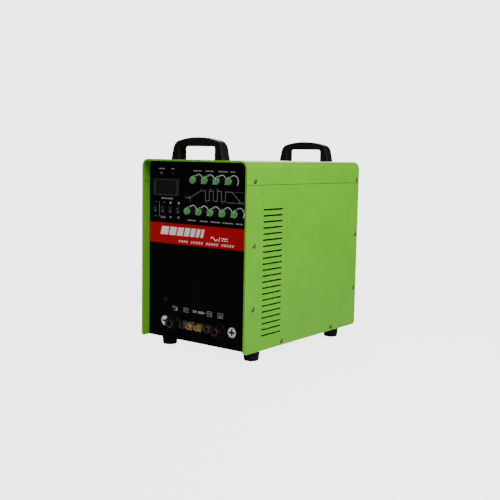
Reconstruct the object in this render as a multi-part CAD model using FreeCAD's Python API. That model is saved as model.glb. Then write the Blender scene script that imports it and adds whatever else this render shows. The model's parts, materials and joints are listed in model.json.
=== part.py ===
import FreeCAD, Part
import math
import os

from FreeCAD import Vector

# TIG welder, inverter type, in a sheet-metal case on four rubber feet.
# Millimetres. +Z up, -Y is the control side, +X is the right side of somebody facing the controls.
# Origin: on the surface the feet stand on, under the middle of the case.

# ---- driving dimensions of the case ----
CASE_W = 284.0          # outside width
CASE_D = 430.0          # outside depth
CASE_H = 384.0          # sheet-metal case, without feet and handles
FOOT_H = 24.0
SHEET = 1.5             # gauge of the painted steel
GAP = 0.3               # assembly gap between neighbouring sheets
SEAM_GAP = 0.9          # open joint between the cap and each side sheet
BEND_R = 16.0           # outside radius where the cap bends from top to side
CAP_DROP = 47.0         # how far the cap comes down the sides
LIP = 4.0               # width of the folded lip on the case's open edges
CORNER_R = 7.0          # lower corners of the side panels
FRONT_RECESS = 22.0     # the front panel stands back from the case edge by this
REAR_RECESS = 20.0
FLANGE = 12.0           # fixing flanges of the inner panels

BOTTOM = FOOT_H
TOP = FOOT_H + CASE_H
SEAM = TOP - CAP_DROP
X_OUT = CASE_W / 2
X_IN = X_OUT - SHEET - GAP          # reach of the inner panels
Y_FRONT = -CASE_D / 2
Y_REAR = CASE_D / 2
PANEL_Y = Y_FRONT + FRONT_RECESS    # outer face of the front panel
PANEL_BACK = PANEL_Y + SHEET
REAR_Y = Y_REAR - REAR_RECESS       # outer face of the rear panel
REAR_IN = REAR_Y - SHEET
FLOOR_Z = BOTTOM + SHEET            # inside floor of the case

# ---- side louvres ----
LOUVRE_COUNT = 22
LOUVRE_PITCH = 12.2
LOUVRE_W = 67.0
LOUVRE_H = 3.6
LOUVRE_Y = -125.5
LOUVRE_Z0 = BOTTOM + 31.0
HOOD_H = 5.0            # pressed slope above each slot
HOOD_OUT = 0.9

# ---- floor vents ----
FLOOR_VENTS = 5
FLOOR_VENT_Y0 = -150.0
FLOOR_VENT_PITCH = 14.0

# ---- fasteners ----
M4_R = 2.0
M4_HEAD_R = 4.2
M4_HEAD_H = 1.9
M4_COLLAR_R = 5.3       # pressed washer face of the case screws
M4_COLLAR_H = 0.7
M5_R = 2.5
M5_HEAD_R = 4.8
M5_HEAD_H = 2.6
SIDE_SCREW_YZ = [
    (-188.5, BOTTOM + 344.0), (204.0, BOTTOM + 344.0),
    (-188.5, BOTTOM + 216.5), (204.0, BOTTOM + 216.5),
    (-188.5, BOTTOM + 89.0), (204.0, BOTTOM + 89.0),
    (-88.0, BOTTOM + 8.6), (108.0, BOTTOM + 8.6),
]

FRONT_SCREW_XZ = (-92.3, BOTTOM + 83.5)
FLOOR_SCREW_XY = [(-94.0, -184.0), (94.0, -184.0)]

# ---- feet and handles ----
FOOT_TOP_R = 17.5
FOOT_BOTTOM_R = 15.5
FOOT_X = 114.0
FOOT_Y = 154.0
HANDLE_L = 141.0
HANDLE_T = 25.0
HANDLE_H = 46.0
HANDLE_LEG = 23.0
HANDLE_OPEN_H = 27.5
HANDLE_CROWN = 10.5     # rise of the arched top between its shoulders and its middle
HANDLE_LEAN = 8.0       # how far each leg leans in on its way up
HANDLE_SHOULDER_R = 22.0
HANDLE_Y = {"front_handle": -190.0, "rear_handle": 201.0}
HANDLE_SCREW_Y = {"front_handle": -184.0, "rear_handle": 202.0}
HANDLE_SCREW_X = HANDLE_L / 2 - HANDLE_LEG / 2

# ---- front panel controls ----
OVERLAY_T = 0.4
OVERLAY_Z = (BOTTOM + 250.0, BOTTOM + 379.0)
OVERLAY_X = 137.5
FACE_Y = PANEL_Y - OVERLAY_T        # the face the controls stand on
BAND_T = 0.5
BAND_Z = (BOTTOM + 205.0, BOTTOM + 248.7)

KNOB_PITCH = 31.2
UPPER_KNOBS_X = [-1.0 + KNOB_PITCH * i for i in range(4)]
LOWER_KNOBS_X = [-16.0 + KNOB_PITCH * i for i in range(5)]
UPPER_KNOBS_Z = BOTTOM + 343.0
LOWER_KNOBS_Z = BOTTOM + 278.5
KNOB_SKIRT_R = 9.5
KNOB_BODY_R = 8.6
KNOB_FRONT_R = 7.9
KNOB_PROUD = 20.6
KNOB_CLEAR = 0.8        # between the knob's skirt and the overlay
CAP_T = 3.5
CAP_SPIGOT_R = 4.0
CAP_SPIGOT_L = 3.0
SHAFT_R = 3.0
SHAFT_BORE_R = 3.06
BUSHING_R = 3.5
BUSHING_PROUD = 3.4
POT_R = 8.2
POT_L = 9.0
NUT_H = 2.0
PANEL_HOLE_R = 3.7

ROCKER_X = [-122.0, -100.3, -78.4, -56.6]
ROCKER_Z = BOTTOM + 277.5
ROCKER_BEZEL = (10.6, 15.4)         # width, height
ROCKER_CUT = (9.2, 13.8)            # cut-out in the panel
ROCKER_WELL = (7.4, 12.5)           # opening the rocker moves in
ROCKER_W = 6.8
ROCKER_TILT = 8.0                   # degrees either side of square
ROCKER_PIVOT_Y = PANEL_Y + 2.6
ROCKER_PIN_R = 1.0
ROCKER_PIN_BORE_R = 1.05

DISPLAY_X = -90.3
DISPLAY_Z = BOTTOM + 324.8
DISPLAY_FRAME = (73.4, 36.6)
DISPLAY_OPEN = (57.0, 28.6)
DISPLAY_POCKET = (60.0, 30.4)
DISPLAY_SPIGOT = (65.6, 33.4)
LED_X = {"indicator_power": -104.6, "indicator_fault": -72.5}
LED_Z = BOTTOM + 355.2
LED_R = 2.5

# ---- front panel vents ----
VENT_X = [-69.0, 41.0]
VENT_COUNT = 9
VENT_W = 62.0
VENT_H = 2.8
VENT_Z0 = BOTTOM + 98.0

SCREEN_T = 5.0          # foam dust screen behind the vents
SCREEN_GAP = 0.4
SCREEN_MARGIN = 6.0

# ---- front sockets ----
SOCKET_Z = BOTTOM + 36.0
WELD_SOCKET_X = {"negative": -62.5, "positive": 62.5}
WELD_FLANGE_R = 18.6
WELD_BODY_R = 13.8
WELD_BODY_PROUD = 19.0
WELD_SPIGOT_R = 13.6
INSERT_R = 8.2
PLUG_BORE_R = 6.6
PLUG_BORE_L = 30.0
INSERT_PROUD = 20.5
CONTROL_SOCKET_X = {"torch_control_socket": -34.0, "remote_control_socket": 34.0}
CONTROL_BARREL_R = 7.8
GAS_X = [-11.5, 12.5]   # outlet, return
GAS_BARREL_R = 6.5
GAS_BORE_R = 2.0

# ---- rear ----
FAN_X, FAN_Z = 0.0, BOTTOM + 92.0
FAN_SIDE = 120.0
FAN_DEPTH = 38.0
FAN_BORE_R = 57.0
FAN_BLADE_R = 55.5
FAN_HUB_R = 20.0
FAN_BLADES = 7
FAN_HOLE_OFFSET = 52.5
SWITCH_X, SWITCH_Z = 74.0, BOTTOM + 300.0
SWITCH_W = 36.0
LEVER_HUB_R = 8.0
LEVER_REACH = 19.0
LEVER_ANGLE = 38.0
LEVER_PIN_R = 2.0
LEVER_PIN_BORE_R = 2.05
GLAND_X, GLAND_Z = 74.0, BOTTOM + 205.0
GLAND_BORE_R = 6.5
EARTH_X, EARTH_Z = 105.0, BOTTOM + 30.0
REAR_VENT_X, REAR_VENT_Z0 = -65.0, BOTTOM + 215.0
VALVE_X, VALVE_Z = -100.0, BOTTOM + 44.0


# ---- shape helpers ----
def block(x, y, z):
    """Box between the given (low, high) pairs."""
    return Part.makeBox(x[1] - x[0], y[1] - y[0], z[1] - z[0], Vector(x[0], y[0], z[0]))


def along_y(x, z, radius, y0, y1):
    """Cylinder along Y between y0 and y1."""
    low, high = min(y0, y1), max(y0, y1)
    return Part.makeCylinder(radius, high - low, Vector(x, low, z), Vector(0, 1, 0))


def along_z(x, y, radius, z0, z1):
    """Cylinder along Z between z0 and z1."""
    low, high = min(z0, z1), max(z0, z1)
    return Part.makeCylinder(radius, high - low, Vector(x, y, low), Vector(0, 0, 1))


def along_x(y, z, radius, x0, x1):
    """Cylinder along X between x0 and x1."""
    low, high = min(x0, x1), max(x0, x1)
    return Part.makeCylinder(radius, high - low, Vector(low, y, z), Vector(1, 0, 0))


def joined(shapes):
    """One solid from shapes that touch or overlap."""
    first = shapes[0]
    rest = shapes[1:]
    return first.fuse(rest).removeSplitter() if rest else first


def rounded(shape, axis, radius, keep=None):
    """Round the straight edges that run along an axis, or those that keep() accepts."""
    direction = {"x": Vector(1, 0, 0), "y": Vector(0, 1, 0), "z": Vector(0, 0, 1)}[axis]
    chosen = []
    for edge in shape.Edges:
        if edge.Curve.TypeId != "Part::GeomLine":
            continue
        if abs(abs(edge.tangentAt(edge.FirstParameter).dot(direction)) - 1.0) > 1e-6:
            continue
        if keep is None or keep(edge.CenterOfMass):
            chosen.append(edge)
    return shape.makeFillet(radius, chosen)


def plate(x, z, size, y0, y1, corner=0.0):
    """Upright plate facing Y, centred on (x, z), with rounded corners."""
    w, h = size
    shape = block((x - w / 2, x + w / 2), (y0, y1), (z - h / 2, z + h / 2))
    return rounded(shape, "y", corner) if corner else shape


def hexagon(x, z, flats, y0, y1):
    """Hexagonal nut or head along Y, by its size across flats."""
    radius = flats / math.sqrt(3.0)
    points = []
    for i in range(7):
        angle = math.radians(60.0 * i)
        points.append(Vector(x + radius * math.cos(angle), y0, z + radius * math.sin(angle)))
    face = Part.Face(Part.makePolygon(points))
    return face.extrude(Vector(0, y1 - y0, 0))


def turned(x, z, profile):
    """Solid of revolution about a line along Y, from (radius, y) points; closes on the axis."""
    points = [Vector(x + r, y, z) for r, y in profile]
    points = [Vector(x, profile[0][1], z)] + points + [Vector(x, profile[-1][1], z)]
    clean = [points[0]]
    for point in points[1:]:
        if (point - clean[-1]).Length > 1e-9:
            clean.append(point)
    face = Part.Face(Part.makePolygon(clean + [clean[0]]))
    return face.revolve(Vector(x, 0, z), Vector(0, 1, 0), 360)


def slot_x(y, z, width, height, thick):
    """Slot through a side panel: long along Y, with round ends, cut along X."""
    half, radius = width / 2 - height / 2, height / 2
    middle = block((-thick, thick), (y - half, y + half), (z - radius, z + radius))
    ends = [along_x(y + side * half, z, radius, -thick, thick) for side in (-1, 1)]
    return joined([middle] + ends)


def slot_y(x, z, width, height, y0, y1):
    """Slot through the front or rear panel: long along X, with round ends, cut along Y."""
    half, radius = width / 2 - height / 2, height / 2
    middle = block((x - half, x + half), (y0, y1), (z - radius, z + radius))
    ends = [along_y(x + side * half, z, radius, y0, y1) for side in (-1, 1)]
    return joined([middle] + ends)


def mirrored(shape):
    """The same shape on the other side of the machine."""
    return shape.mirror(Vector(0, 0, 0), Vector(1, 0, 0))


def save(name, shape):
    """Write one sub-part and say how many solids it holds."""
    if not shape.isValid():
        raise ValueError(name + " is not valid")
    shape.exportStep("parts/" + name + ".step")
    print(name, len(shape.Solids), "solid(s)", round(shape.Volume / 1000.0, 2), "cm3")


# ---- case ----
def cap_outline(inset, y0, y1, z0):
    """Rounded block with the cap's outline, drawn in by inset all round."""
    shape = block((-X_OUT + inset, X_OUT - inset), (y0, y1), (z0, TOP - inset))
    radius = BEND_R - inset
    return rounded(shape, "y", radius, lambda p: p.z > TOP - inset - 0.01)


def top_cover():
    """Cap: top and both shoulders in one bent sheet, with a folded lip front and rear."""
    shell = cap_outline(0, Y_FRONT, Y_REAR, SEAM)
    shell = shell.cut(cap_outline(SHEET, Y_FRONT - 1, Y_REAR + 1, SEAM - 1))
    lips = []
    for y0 in (Y_FRONT, Y_REAR - SHEET):
        ring = cap_outline(0, y0, y0 + SHEET, SEAM)
        lips.append(ring.cut(cap_outline(LIP, y0 - 1, y0 + SHEET + 1, SEAM - 1)))
    shell = joined([shell] + lips)
    holes = [along_x(y, z, M4_R + 0.2, -X_OUT - 1, X_OUT + 1) for y, z in SIDE_SCREW_YZ[:2]]
    for y in HANDLE_SCREW_Y.values():
        for side in (-1, 1):
            holes.append(along_z(side * HANDLE_SCREW_X, y, M5_R + 0.3, TOP - 5, TOP + 1))
    return shell.cut(holes)


def right_side_panel():
    """Louvred side sheet with folded lips front and rear and a joggled strip behind the cap."""
    envelope = block((X_OUT - LIP, X_OUT), (Y_FRONT, Y_REAR), (BOTTOM, SEAM - SEAM_GAP))
    envelope = rounded(envelope, "x", CORNER_R, lambda p: p.z < BOTTOM + 0.01)
    hollow = block((X_OUT - LIP - 1, X_OUT - SHEET), (Y_FRONT + SHEET, Y_REAR - SHEET),
                   (BOTTOM - 1, SEAM))
    sheet = envelope.cut(hollow)
    run = (PANEL_BACK + FLANGE + 1, REAR_IN - 1)
    strip = block((X_OUT - 2 * SHEET - GAP, X_OUT - SHEET - GAP), run, (SEAM - 10, SEAM + 16))
    weld = block((X_OUT - SHEET - GAP, X_OUT - SHEET), run, (SEAM - 10, SEAM - 1))
    hoods = []
    cuts = []
    for i in range(LOUVRE_COUNT):
        z = LOUVRE_Z0 + i * LOUVRE_PITCH
        low = z + LOUVRE_H / 2
        outline = [Vector(X_OUT - 0.5, 0, low), Vector(X_OUT + HOOD_OUT, 0, low),
                   Vector(X_OUT, 0, low + HOOD_H), Vector(X_OUT - 0.5, 0, low + HOOD_H)]
        for point in outline:
            point.y = LOUVRE_Y - LOUVRE_W / 2
        face = Part.Face(Part.makePolygon(outline + [outline[0]]))
        hoods.append(face.extrude(Vector(0, LOUVRE_W, 0)))
        slot = slot_x(LOUVRE_Y, z, LOUVRE_W, LOUVRE_H, 10)
        cuts.append(slot.translated(Vector(X_OUT, 0, 0)))
    for y, z in SIDE_SCREW_YZ:
        cuts.append(along_x(y, z, M4_R + 0.2, X_OUT - 8, X_OUT + 1))
    return joined([sheet, strip, weld] + hoods).cut(cuts)


def base_plate():
    """Floor pan with its side flanges turned up, foot holes and bottom vents."""
    floor = block((-X_IN, X_IN), (PANEL_BACK + GAP, REAR_IN - GAP), (BOTTOM, FLOOR_Z))
    flanges = []
    for side in (-1, 1):
        edge = sorted((side * X_IN, side * (X_IN - SHEET)))
        flanges.append(block(edge, (PANEL_BACK + FLANGE + 2, REAR_IN - 2), (BOTTOM, BOTTOM + 20)))
    pan = joined([floor] + flanges)
    holes = [along_x(y, z, M4_R + 0.2, -X_OUT, X_OUT) for y, z in SIDE_SCREW_YZ[6:]]
    for sx in (-1, 1):
        for sy in (-1, 1):
            holes.append(along_z(sx * FOOT_X, sy * FOOT_Y, M5_R + 0.3, BOTTOM - 1, FLOOR_Z + 1))
    for x, y in FLOOR_SCREW_XY:
        holes.append(along_z(x, y, M4_R + 0.02, BOTTOM - 1, FLOOR_Z + 1))
    for i in range(FLOOR_VENTS):
        y = FLOOR_VENT_Y0 + i * FLOOR_VENT_PITCH
        holes.append(block((-35, 25), (y, y + 5), (BOTTOM - 1, FLOOR_Z + 1)))
    return pan.cut(holes)


def foot(side_x, side_y):
    """Tapered rubber foot with a sunk screw hole."""
    x, y = side_x * FOOT_X, side_y * FOOT_Y
    cone = Part.makeCone(FOOT_BOTTOM_R, FOOT_TOP_R, FOOT_H, Vector(x, y, 0), Vector(0, 0, 1))
    bottom_edges = [e for e in cone.Edges if e.CenterOfMass.z < 0.01 and e.Length > 50]
    cone = cone.makeFillet(2.0, bottom_edges)
    bore = along_z(x, y, M5_R + 0.2, -1, FOOT_H + 1)
    sink = along_z(x, y, M5_HEAD_R + 1.2, -1, FOOT_H - 8)
    return cone.cut([bore, sink])


def handle(y, screw_y):
    """Bridge handle across the top: two legs and an arched grip, with softened edges."""
    half = HANDLE_L / 2
    shoulder_x = half - HANDLE_LEAN
    shoulder_z = TOP + HANDLE_H - HANDLE_CROWN
    left, right = Vector(-shoulder_x, 0, shoulder_z), Vector(shoulder_x, 0, shoulder_z)
    outline = Part.Wire([
        Part.makeLine(Vector(half, 0, TOP), Vector(-half, 0, TOP)),
        Part.makeLine(Vector(-half, 0, TOP), left),
        Part.Arc(left, Vector(0, 0, TOP + HANDLE_H), right).toShape(),
        Part.makeLine(right, Vector(half, 0, TOP)),
    ])
    body = Part.Face(outline).extrude(Vector(0, HANDLE_T, 0))
    body = rounded(body, "y", HANDLE_SHOULDER_R, lambda p: p.z > shoulder_z - 1)
    inner = half - HANDLE_LEG
    gap = block((-inner, inner), (-1, HANDLE_T + 1), (TOP - 1, TOP + HANDLE_OPEN_H))
    gap = rounded(gap, "y", 5.0, lambda p: p.z > TOP + HANDLE_OPEN_H - 0.01)
    body = body.cut(gap)
    rims = []
    for edge in body.Edges:
        centre = edge.CenterOfMass
        on_face = abs(centre.y) < 0.01 or abs(centre.y - HANDLE_T) < 0.01
        if on_face and centre.z > TOP + 0.5:
            rims.append(edge)
    body = body.makeFillet(3.0, rims).translated(Vector(0, y - HANDLE_T / 2, 0))
    threads = [along_z(side * HANDLE_SCREW_X, screw_y, M5_R, TOP - 1, TOP + 14) for side in (-1, 1)]
    return body.cut(threads)


# ---- front panel ----
def control_positions():
    """Knob name to its (x, z), for both rows."""
    places = {}
    for i, x in enumerate(UPPER_KNOBS_X):
        places["knob_upper_%d" % (i + 1)] = (x, UPPER_KNOBS_Z)
    for i, x in enumerate(LOWER_KNOBS_X):
        places["knob_lower_%d" % (i + 1)] = (x, LOWER_KNOBS_Z)
    return places


def control_cutouts(y0, y1):
    """Holes that the panel and its overlay share."""
    cuts = [along_y(x, z, PANEL_HOLE_R, y0, y1) for x, z in control_positions().values()]
    cuts += [along_y(x, LED_Z, LED_R + 0.15, y0, y1) for x in LED_X.values()]
    for x in ROCKER_X:
        cuts.append(plate(x, ROCKER_Z, ROCKER_CUT, y0, y1))
    opening = (DISPLAY_SPIGOT[0] + 0.4, DISPLAY_SPIGOT[1] + 0.4)
    cuts.append(plate(DISPLAY_X, DISPLAY_Z, opening, y0, y1))
    return cuts


def front_panel():
    """Black steel front with flanges behind it, control holes, vents and socket holes."""
    height = TOP - SHEET - GAP - BOTTOM
    centre_z = BOTTOM + height / 2
    sheet = plate(0, centre_z, (2 * X_IN, height), PANEL_Y, PANEL_BACK)
    corner = BEND_R - SHEET
    sheet = rounded(sheet, "y", corner, lambda p: p.z > TOP - 5)
    flanges = []
    for side in (-1, 1):
        edge = sorted((side * X_IN, side * (X_IN - SHEET)))
        flanges.append(block(edge, (PANEL_Y + 0.5, PANEL_BACK + FLANGE), (FLOOR_Z + GAP, TOP - 22)))
    cuts = control_cutouts(PANEL_Y - 1, PANEL_BACK + 1)
    for x in VENT_X:
        for i in range(VENT_COUNT):
            z = VENT_Z0 + i * LOUVRE_PITCH
            cuts.append(slot_y(x, z, VENT_W, VENT_H, PANEL_Y - 1, PANEL_BACK + 1))
    for x in WELD_SOCKET_X.values():
        cuts.append(along_y(x, SOCKET_Z, WELD_SPIGOT_R + 0.2, PANEL_Y - 1, PANEL_BACK + 1))
    for x in CONTROL_SOCKET_X.values():
        cuts.append(along_y(x, SOCKET_Z, CONTROL_BARREL_R + 0.1, PANEL_Y - 1, PANEL_BACK + 1))
    for x in GAS_X:
        cuts.append(along_y(x, SOCKET_Z, GAS_BARREL_R + 0.1, PANEL_Y - 1, PANEL_BACK + 1))
    x, z = FRONT_SCREW_XZ
    cuts.append(along_y(x, z, M4_R + 0.02, PANEL_Y - 1, PANEL_BACK + 1))
    for y, z in SIDE_SCREW_YZ:
        if y < -150:
            cuts.append(along_x(y, z, M4_R + 0.02, -X_OUT, X_OUT))
    return joined([sheet] + flanges).cut(cuts)


def control_overlay():
    """Black printed film behind the controls."""
    height = OVERLAY_Z[1] - OVERLAY_Z[0]
    film = plate(0, sum(OVERLAY_Z) / 2, (2 * OVERLAY_X, height), FACE_Y, PANEL_Y)
    film = rounded(film, "y", BEND_R - LIP / 2, lambda p: p.z > OVERLAY_Z[1] - 1)
    return film.cut(control_cutouts(FACE_Y - 1, PANEL_Y + 1))


def red_band():
    """Coloured trim strip across the whole panel."""
    height = BAND_Z[1] - BAND_Z[0]
    return plate(0, sum(BAND_Z) / 2, (2 * X_IN - 0.6, height), PANEL_Y - BAND_T, PANEL_Y)


def display_bezel():
    """Moulded frame that clips into the panel and holds the display window."""
    rim = plate(DISPLAY_X, DISPLAY_Z, DISPLAY_FRAME, FACE_Y - 3.0, FACE_Y, 2.4)
    front = rim.Faces
    face = [f for f in front if abs(f.CenterOfMass.y - (FACE_Y - 3.0)) < 0.01]
    rim = rim.makeFillet(0.9, face[0].Edges)
    spigot = plate(DISPLAY_X, DISPLAY_Z, DISPLAY_SPIGOT, FACE_Y - 0.5, PANEL_BACK + 3.5)
    opening = plate(DISPLAY_X, DISPLAY_Z, DISPLAY_OPEN, FACE_Y - 4, PANEL_BACK + 4)
    pocket = plate(DISPLAY_X, DISPLAY_Z, DISPLAY_POCKET, FACE_Y - 1.0, PANEL_BACK + 4)
    return joined([rim, spigot]).cut([opening, pocket])


def display_window():
    """Smoked window pane in the bezel's pocket."""
    size = (DISPLAY_POCKET[0] - 0.2, DISPLAY_POCKET[1] - 0.2)
    return plate(DISPLAY_X, DISPLAY_Z, size, FACE_Y - 1.0, FACE_Y + 0.6)


def display_module():
    """Three-digit display block on its own small board."""
    digits = plate(DISPLAY_X, DISPLAY_Z, (52.0, 24.0), FACE_Y + 0.8, FACE_Y + 8.8)
    board = plate(DISPLAY_X, DISPLAY_Z, (70.0, 34.0), FACE_Y + 8.8, FACE_Y + 10.4)
    header = plate(DISPLAY_X, DISPLAY_Z - 12, (20.0, 5.0), FACE_Y + 10.4, FACE_Y + 17.0)
    return joined([digits, board, header])


def indicator(x):
    """Round lamp with a domed lens."""
    profile = [(LED_R, PANEL_BACK + 5.0), (LED_R, FACE_Y), (LED_R + 1.0, FACE_Y),
               (LED_R + 1.0, FACE_Y - 0.8), (LED_R, FACE_Y - 0.8), (LED_R, FACE_Y - 1.6)]
    lens = turned(x, LED_Z, profile)
    dome = Part.makeSphere(LED_R, Vector(x, FACE_Y - 1.6, LED_Z))
    return joined([lens, dome])


# ---- rocker switches ----
def rocker_housing(x):
    """Snap-in switch body with a bezel, an open well and two pivot bores."""
    bezel = plate(x, ROCKER_Z, ROCKER_BEZEL, FACE_Y - 1.6, FACE_Y, 1.0)
    size = (ROCKER_CUT[0] - 0.2, ROCKER_CUT[1] - 0.2)
    body = plate(x, ROCKER_Z, size, FACE_Y - 0.5, PANEL_BACK + 15.0)
    well = plate(x, ROCKER_Z, ROCKER_WELL, FACE_Y - 3, ROCKER_PIVOT_Y + 3.4)
    pivot = along_x(ROCKER_PIVOT_Y, ROCKER_Z, ROCKER_PIN_BORE_R, x - 4.25, x + 4.25)
    pins = []
    for dz in (-4.0, 4.0):
        pins.append(block((x - 1.6, x + 1.6), (PANEL_BACK + 14, PANEL_BACK + 21),
                          (ROCKER_Z + dz - 0.4, ROCKER_Z + dz + 0.4)))
    return joined([bezel, body] + pins).cut([well, pivot])


def rocker(x):
    """Rocker cap on its pivot pin, resting tipped towards its lower end."""
    reach = 5.4
    points = [(-reach, -4.4), (0, -6.0), (reach, -4.4), (reach, 1.0), (-reach, 1.0)]
    corners = [Vector(x - ROCKER_W / 2, ROCKER_PIVOT_Y + dy, ROCKER_Z + dz) for dz, dy in points]
    face = Part.Face(Part.makePolygon(corners + [corners[0]]))
    body = face.extrude(Vector(ROCKER_W, 0, 0))
    pin = along_x(ROCKER_PIVOT_Y, ROCKER_Z, ROCKER_PIN_R, x - 4.1, x + 4.1)
    shape = joined([body, pin])
    shape.rotate(Vector(x, ROCKER_PIVOT_Y, ROCKER_Z), Vector(1, 0, 0), ROCKER_TILT)
    return shape


# ---- knobs and potentiometers ----
def potentiometer(x, z):
    """Carbon-track potentiometer: can, threaded bushing and its nut, bored for the shaft."""
    can = along_y(x, z, POT_R, PANEL_BACK, PANEL_BACK + POT_L)
    tags = plate(x, z - POT_R - 1.5, (9.0, 6.0), PANEL_BACK + 3.0, PANEL_BACK + 4.2)
    bushing = along_y(x, z, BUSHING_R, FACE_Y - BUSHING_PROUD, PANEL_BACK + 1)
    nut = hexagon(x, z, 10.0, FACE_Y - NUT_H, FACE_Y)
    bore = along_y(x, z, SHAFT_BORE_R, FACE_Y - 10, PANEL_BACK + POT_L - 1.2)
    return joined([can, tags, bushing, nut]).cut(bore)


def knob_body(x, z):
    """Skirted knob on its shaft, hollow underneath to clear the nut, with a pointer rib."""
    base = FACE_Y - KNOB_CLEAR
    front = PANEL_Y - KNOB_PROUD + CAP_T
    skirt_top = base - 2.5
    body = turned(x, z, [(KNOB_SKIRT_R - 0.3, base), (KNOB_SKIRT_R, base - 0.4),
                         (KNOB_SKIRT_R, skirt_top + 0.3), (KNOB_SKIRT_R - 0.3, skirt_top),
                         (KNOB_BODY_R, skirt_top), (KNOB_FRONT_R, front)])
    under = along_y(x, z, 6.6, base - 3.2, base + 1)
    seat = along_y(x, z, CAP_SPIGOT_R, front - 1, front + CAP_SPIGOT_L)
    rib = block((x - 0.6, x + 0.6), (front + 0.5, skirt_top), (z + 6.0, z + KNOB_BODY_R + 0.5))
    shaft = along_y(x, z, SHAFT_R, base - 3.2, PANEL_BACK + POT_L - 1.6)
    return joined([joined([body, rib]).cut([under, seat]), shaft])


def knob_cap(x, z):
    """Coloured cap pressed into the front of the knob."""
    back = PANEL_Y - KNOB_PROUD + CAP_T
    front = PANEL_Y - KNOB_PROUD
    return turned(x, z, [(CAP_SPIGOT_R, back + CAP_SPIGOT_L), (CAP_SPIGOT_R, back),
                         (KNOB_FRONT_R, back), (KNOB_FRONT_R, front + 1.2),
                         (KNOB_FRONT_R - 0.4, front + 0.4), (KNOB_FRONT_R - 1.2, front)])


# ---- dust screens ----
def dust_screen(x, z0, width, y0):
    """Foam pad in front of the inside of one group of vents."""
    height = (VENT_COUNT - 1) * LOUVRE_PITCH + VENT_H + 2 * SCREEN_MARGIN
    centre_z = z0 + (VENT_COUNT - 1) * LOUVRE_PITCH / 2
    return plate(x, centre_z, (width + 2 * SCREEN_MARGIN, height), y0, y0 + SCREEN_T, 3.0)


def side_screen():
    """Foam pad inside the right-hand louvres."""
    half = LOUVRE_W / 2 + SCREEN_MARGIN
    x1 = X_OUT - SHEET - SCREEN_GAP
    z1 = LOUVRE_Z0 + (LOUVRE_COUNT - 1) * LOUVRE_PITCH + SCREEN_MARGIN
    pad = block((x1 - SCREEN_T, x1), (LOUVRE_Y - half, LOUVRE_Y + half),
                (LOUVRE_Z0 - SCREEN_MARGIN, z1))
    return rounded(pad, "x", 3.0)


def dust_screens():
    """Pads behind both groups of front vents, the rear group and both rows of louvres."""
    y0 = PANEL_BACK + SCREEN_GAP
    pads = [dust_screen(x, VENT_Z0, VENT_W, y0) for x in VENT_X]
    pads.append(dust_screen(REAR_VENT_X, REAR_VENT_Z0, VENT_W, REAR_IN - SCREEN_GAP - SCREEN_T))
    side = side_screen()
    return Part.makeCompound(pads + [side, mirrored(side)])


# ---- front sockets ----
def weld_socket_housing(x):
    """Insulating body of a welding-current socket, clamped to the panel by its rear nut."""
    profile = [(WELD_FLANGE_R, PANEL_Y), (WELD_FLANGE_R, PANEL_Y - 4.5),
               (WELD_FLANGE_R - 1.5, PANEL_Y - 6.0), (WELD_BODY_R, PANEL_Y - 6.0),
               (WELD_BODY_R, PANEL_Y - WELD_BODY_PROUD + 1.0),
               (WELD_BODY_R - 1.0, PANEL_Y - WELD_BODY_PROUD)]
    front = turned(x, SOCKET_Z, profile)
    spigot = along_y(x, SOCKET_Z, WELD_SPIGOT_R, PANEL_Y - 1, PANEL_BACK + 12)
    nut = hexagon(x, SOCKET_Z, 30.0, PANEL_BACK, PANEL_BACK + 7)
    bore = along_y(x, SOCKET_Z, INSERT_R, PANEL_Y - 20, PANEL_BACK + 20)
    return joined([front, spigot, nut]).cut(bore)


def weld_socket_insert(x):
    """Brass contact: plug bore with its keyway at the front, threaded stud behind."""
    tip = PANEL_Y - INSERT_PROUD
    sleeve = turned(x, SOCKET_Z, [(INSERT_R - 0.6, tip), (INSERT_R, tip + 0.6),
                                  (INSERT_R, PANEL_BACK + 12)])
    stud = along_y(x, SOCKET_Z, 5.0, PANEL_BACK + 12, PANEL_BACK + 30)
    nut = hexagon(x, SOCKET_Z, 16.0, PANEL_BACK + 14, PANEL_BACK + 21)
    bore = along_y(x, SOCKET_Z, PLUG_BORE_R, tip - 1, tip + PLUG_BORE_L)
    key = block((x - 1.6, x + 1.6), (tip - 1, tip + 9), (SOCKET_Z, SOCKET_Z + INSERT_R + 1))
    return joined([sleeve, stud, nut]).cut([bore, key])


def control_socket(x):
    """Round multi-pin panel socket: ring nut, threaded barrel and an insulator with contacts."""
    front = PANEL_Y - 12.0
    ring = turned(x, SOCKET_Z, [(9.2, PANEL_Y), (9.2, PANEL_Y - 2.6), (8.6, PANEL_Y - 3.2)])
    barrel = along_y(x, SOCKET_Z, CONTROL_BARREL_R, front, PANEL_BACK + 8)
    nut = hexagon(x, SOCKET_Z, 17.0, PANEL_BACK, PANEL_BACK + 3)
    tail = along_y(x, SOCKET_Z, 5.6, PANEL_BACK + 7, PANEL_BACK + 14)
    mouth = along_y(x, SOCKET_Z, 6.5, front - 1, front + 1.2)
    contacts = []
    for i in range(5):
        angle = math.radians(90 + 72 * i)
        cx, cz = x + 4.0 * math.cos(angle), SOCKET_Z + 4.0 * math.sin(angle)
        contacts.append(along_y(cx, cz, 0.9, front - 1, front + 6))
    return joined([ring, barrel, nut, tail]).cut([mouth] + contacts)


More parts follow.
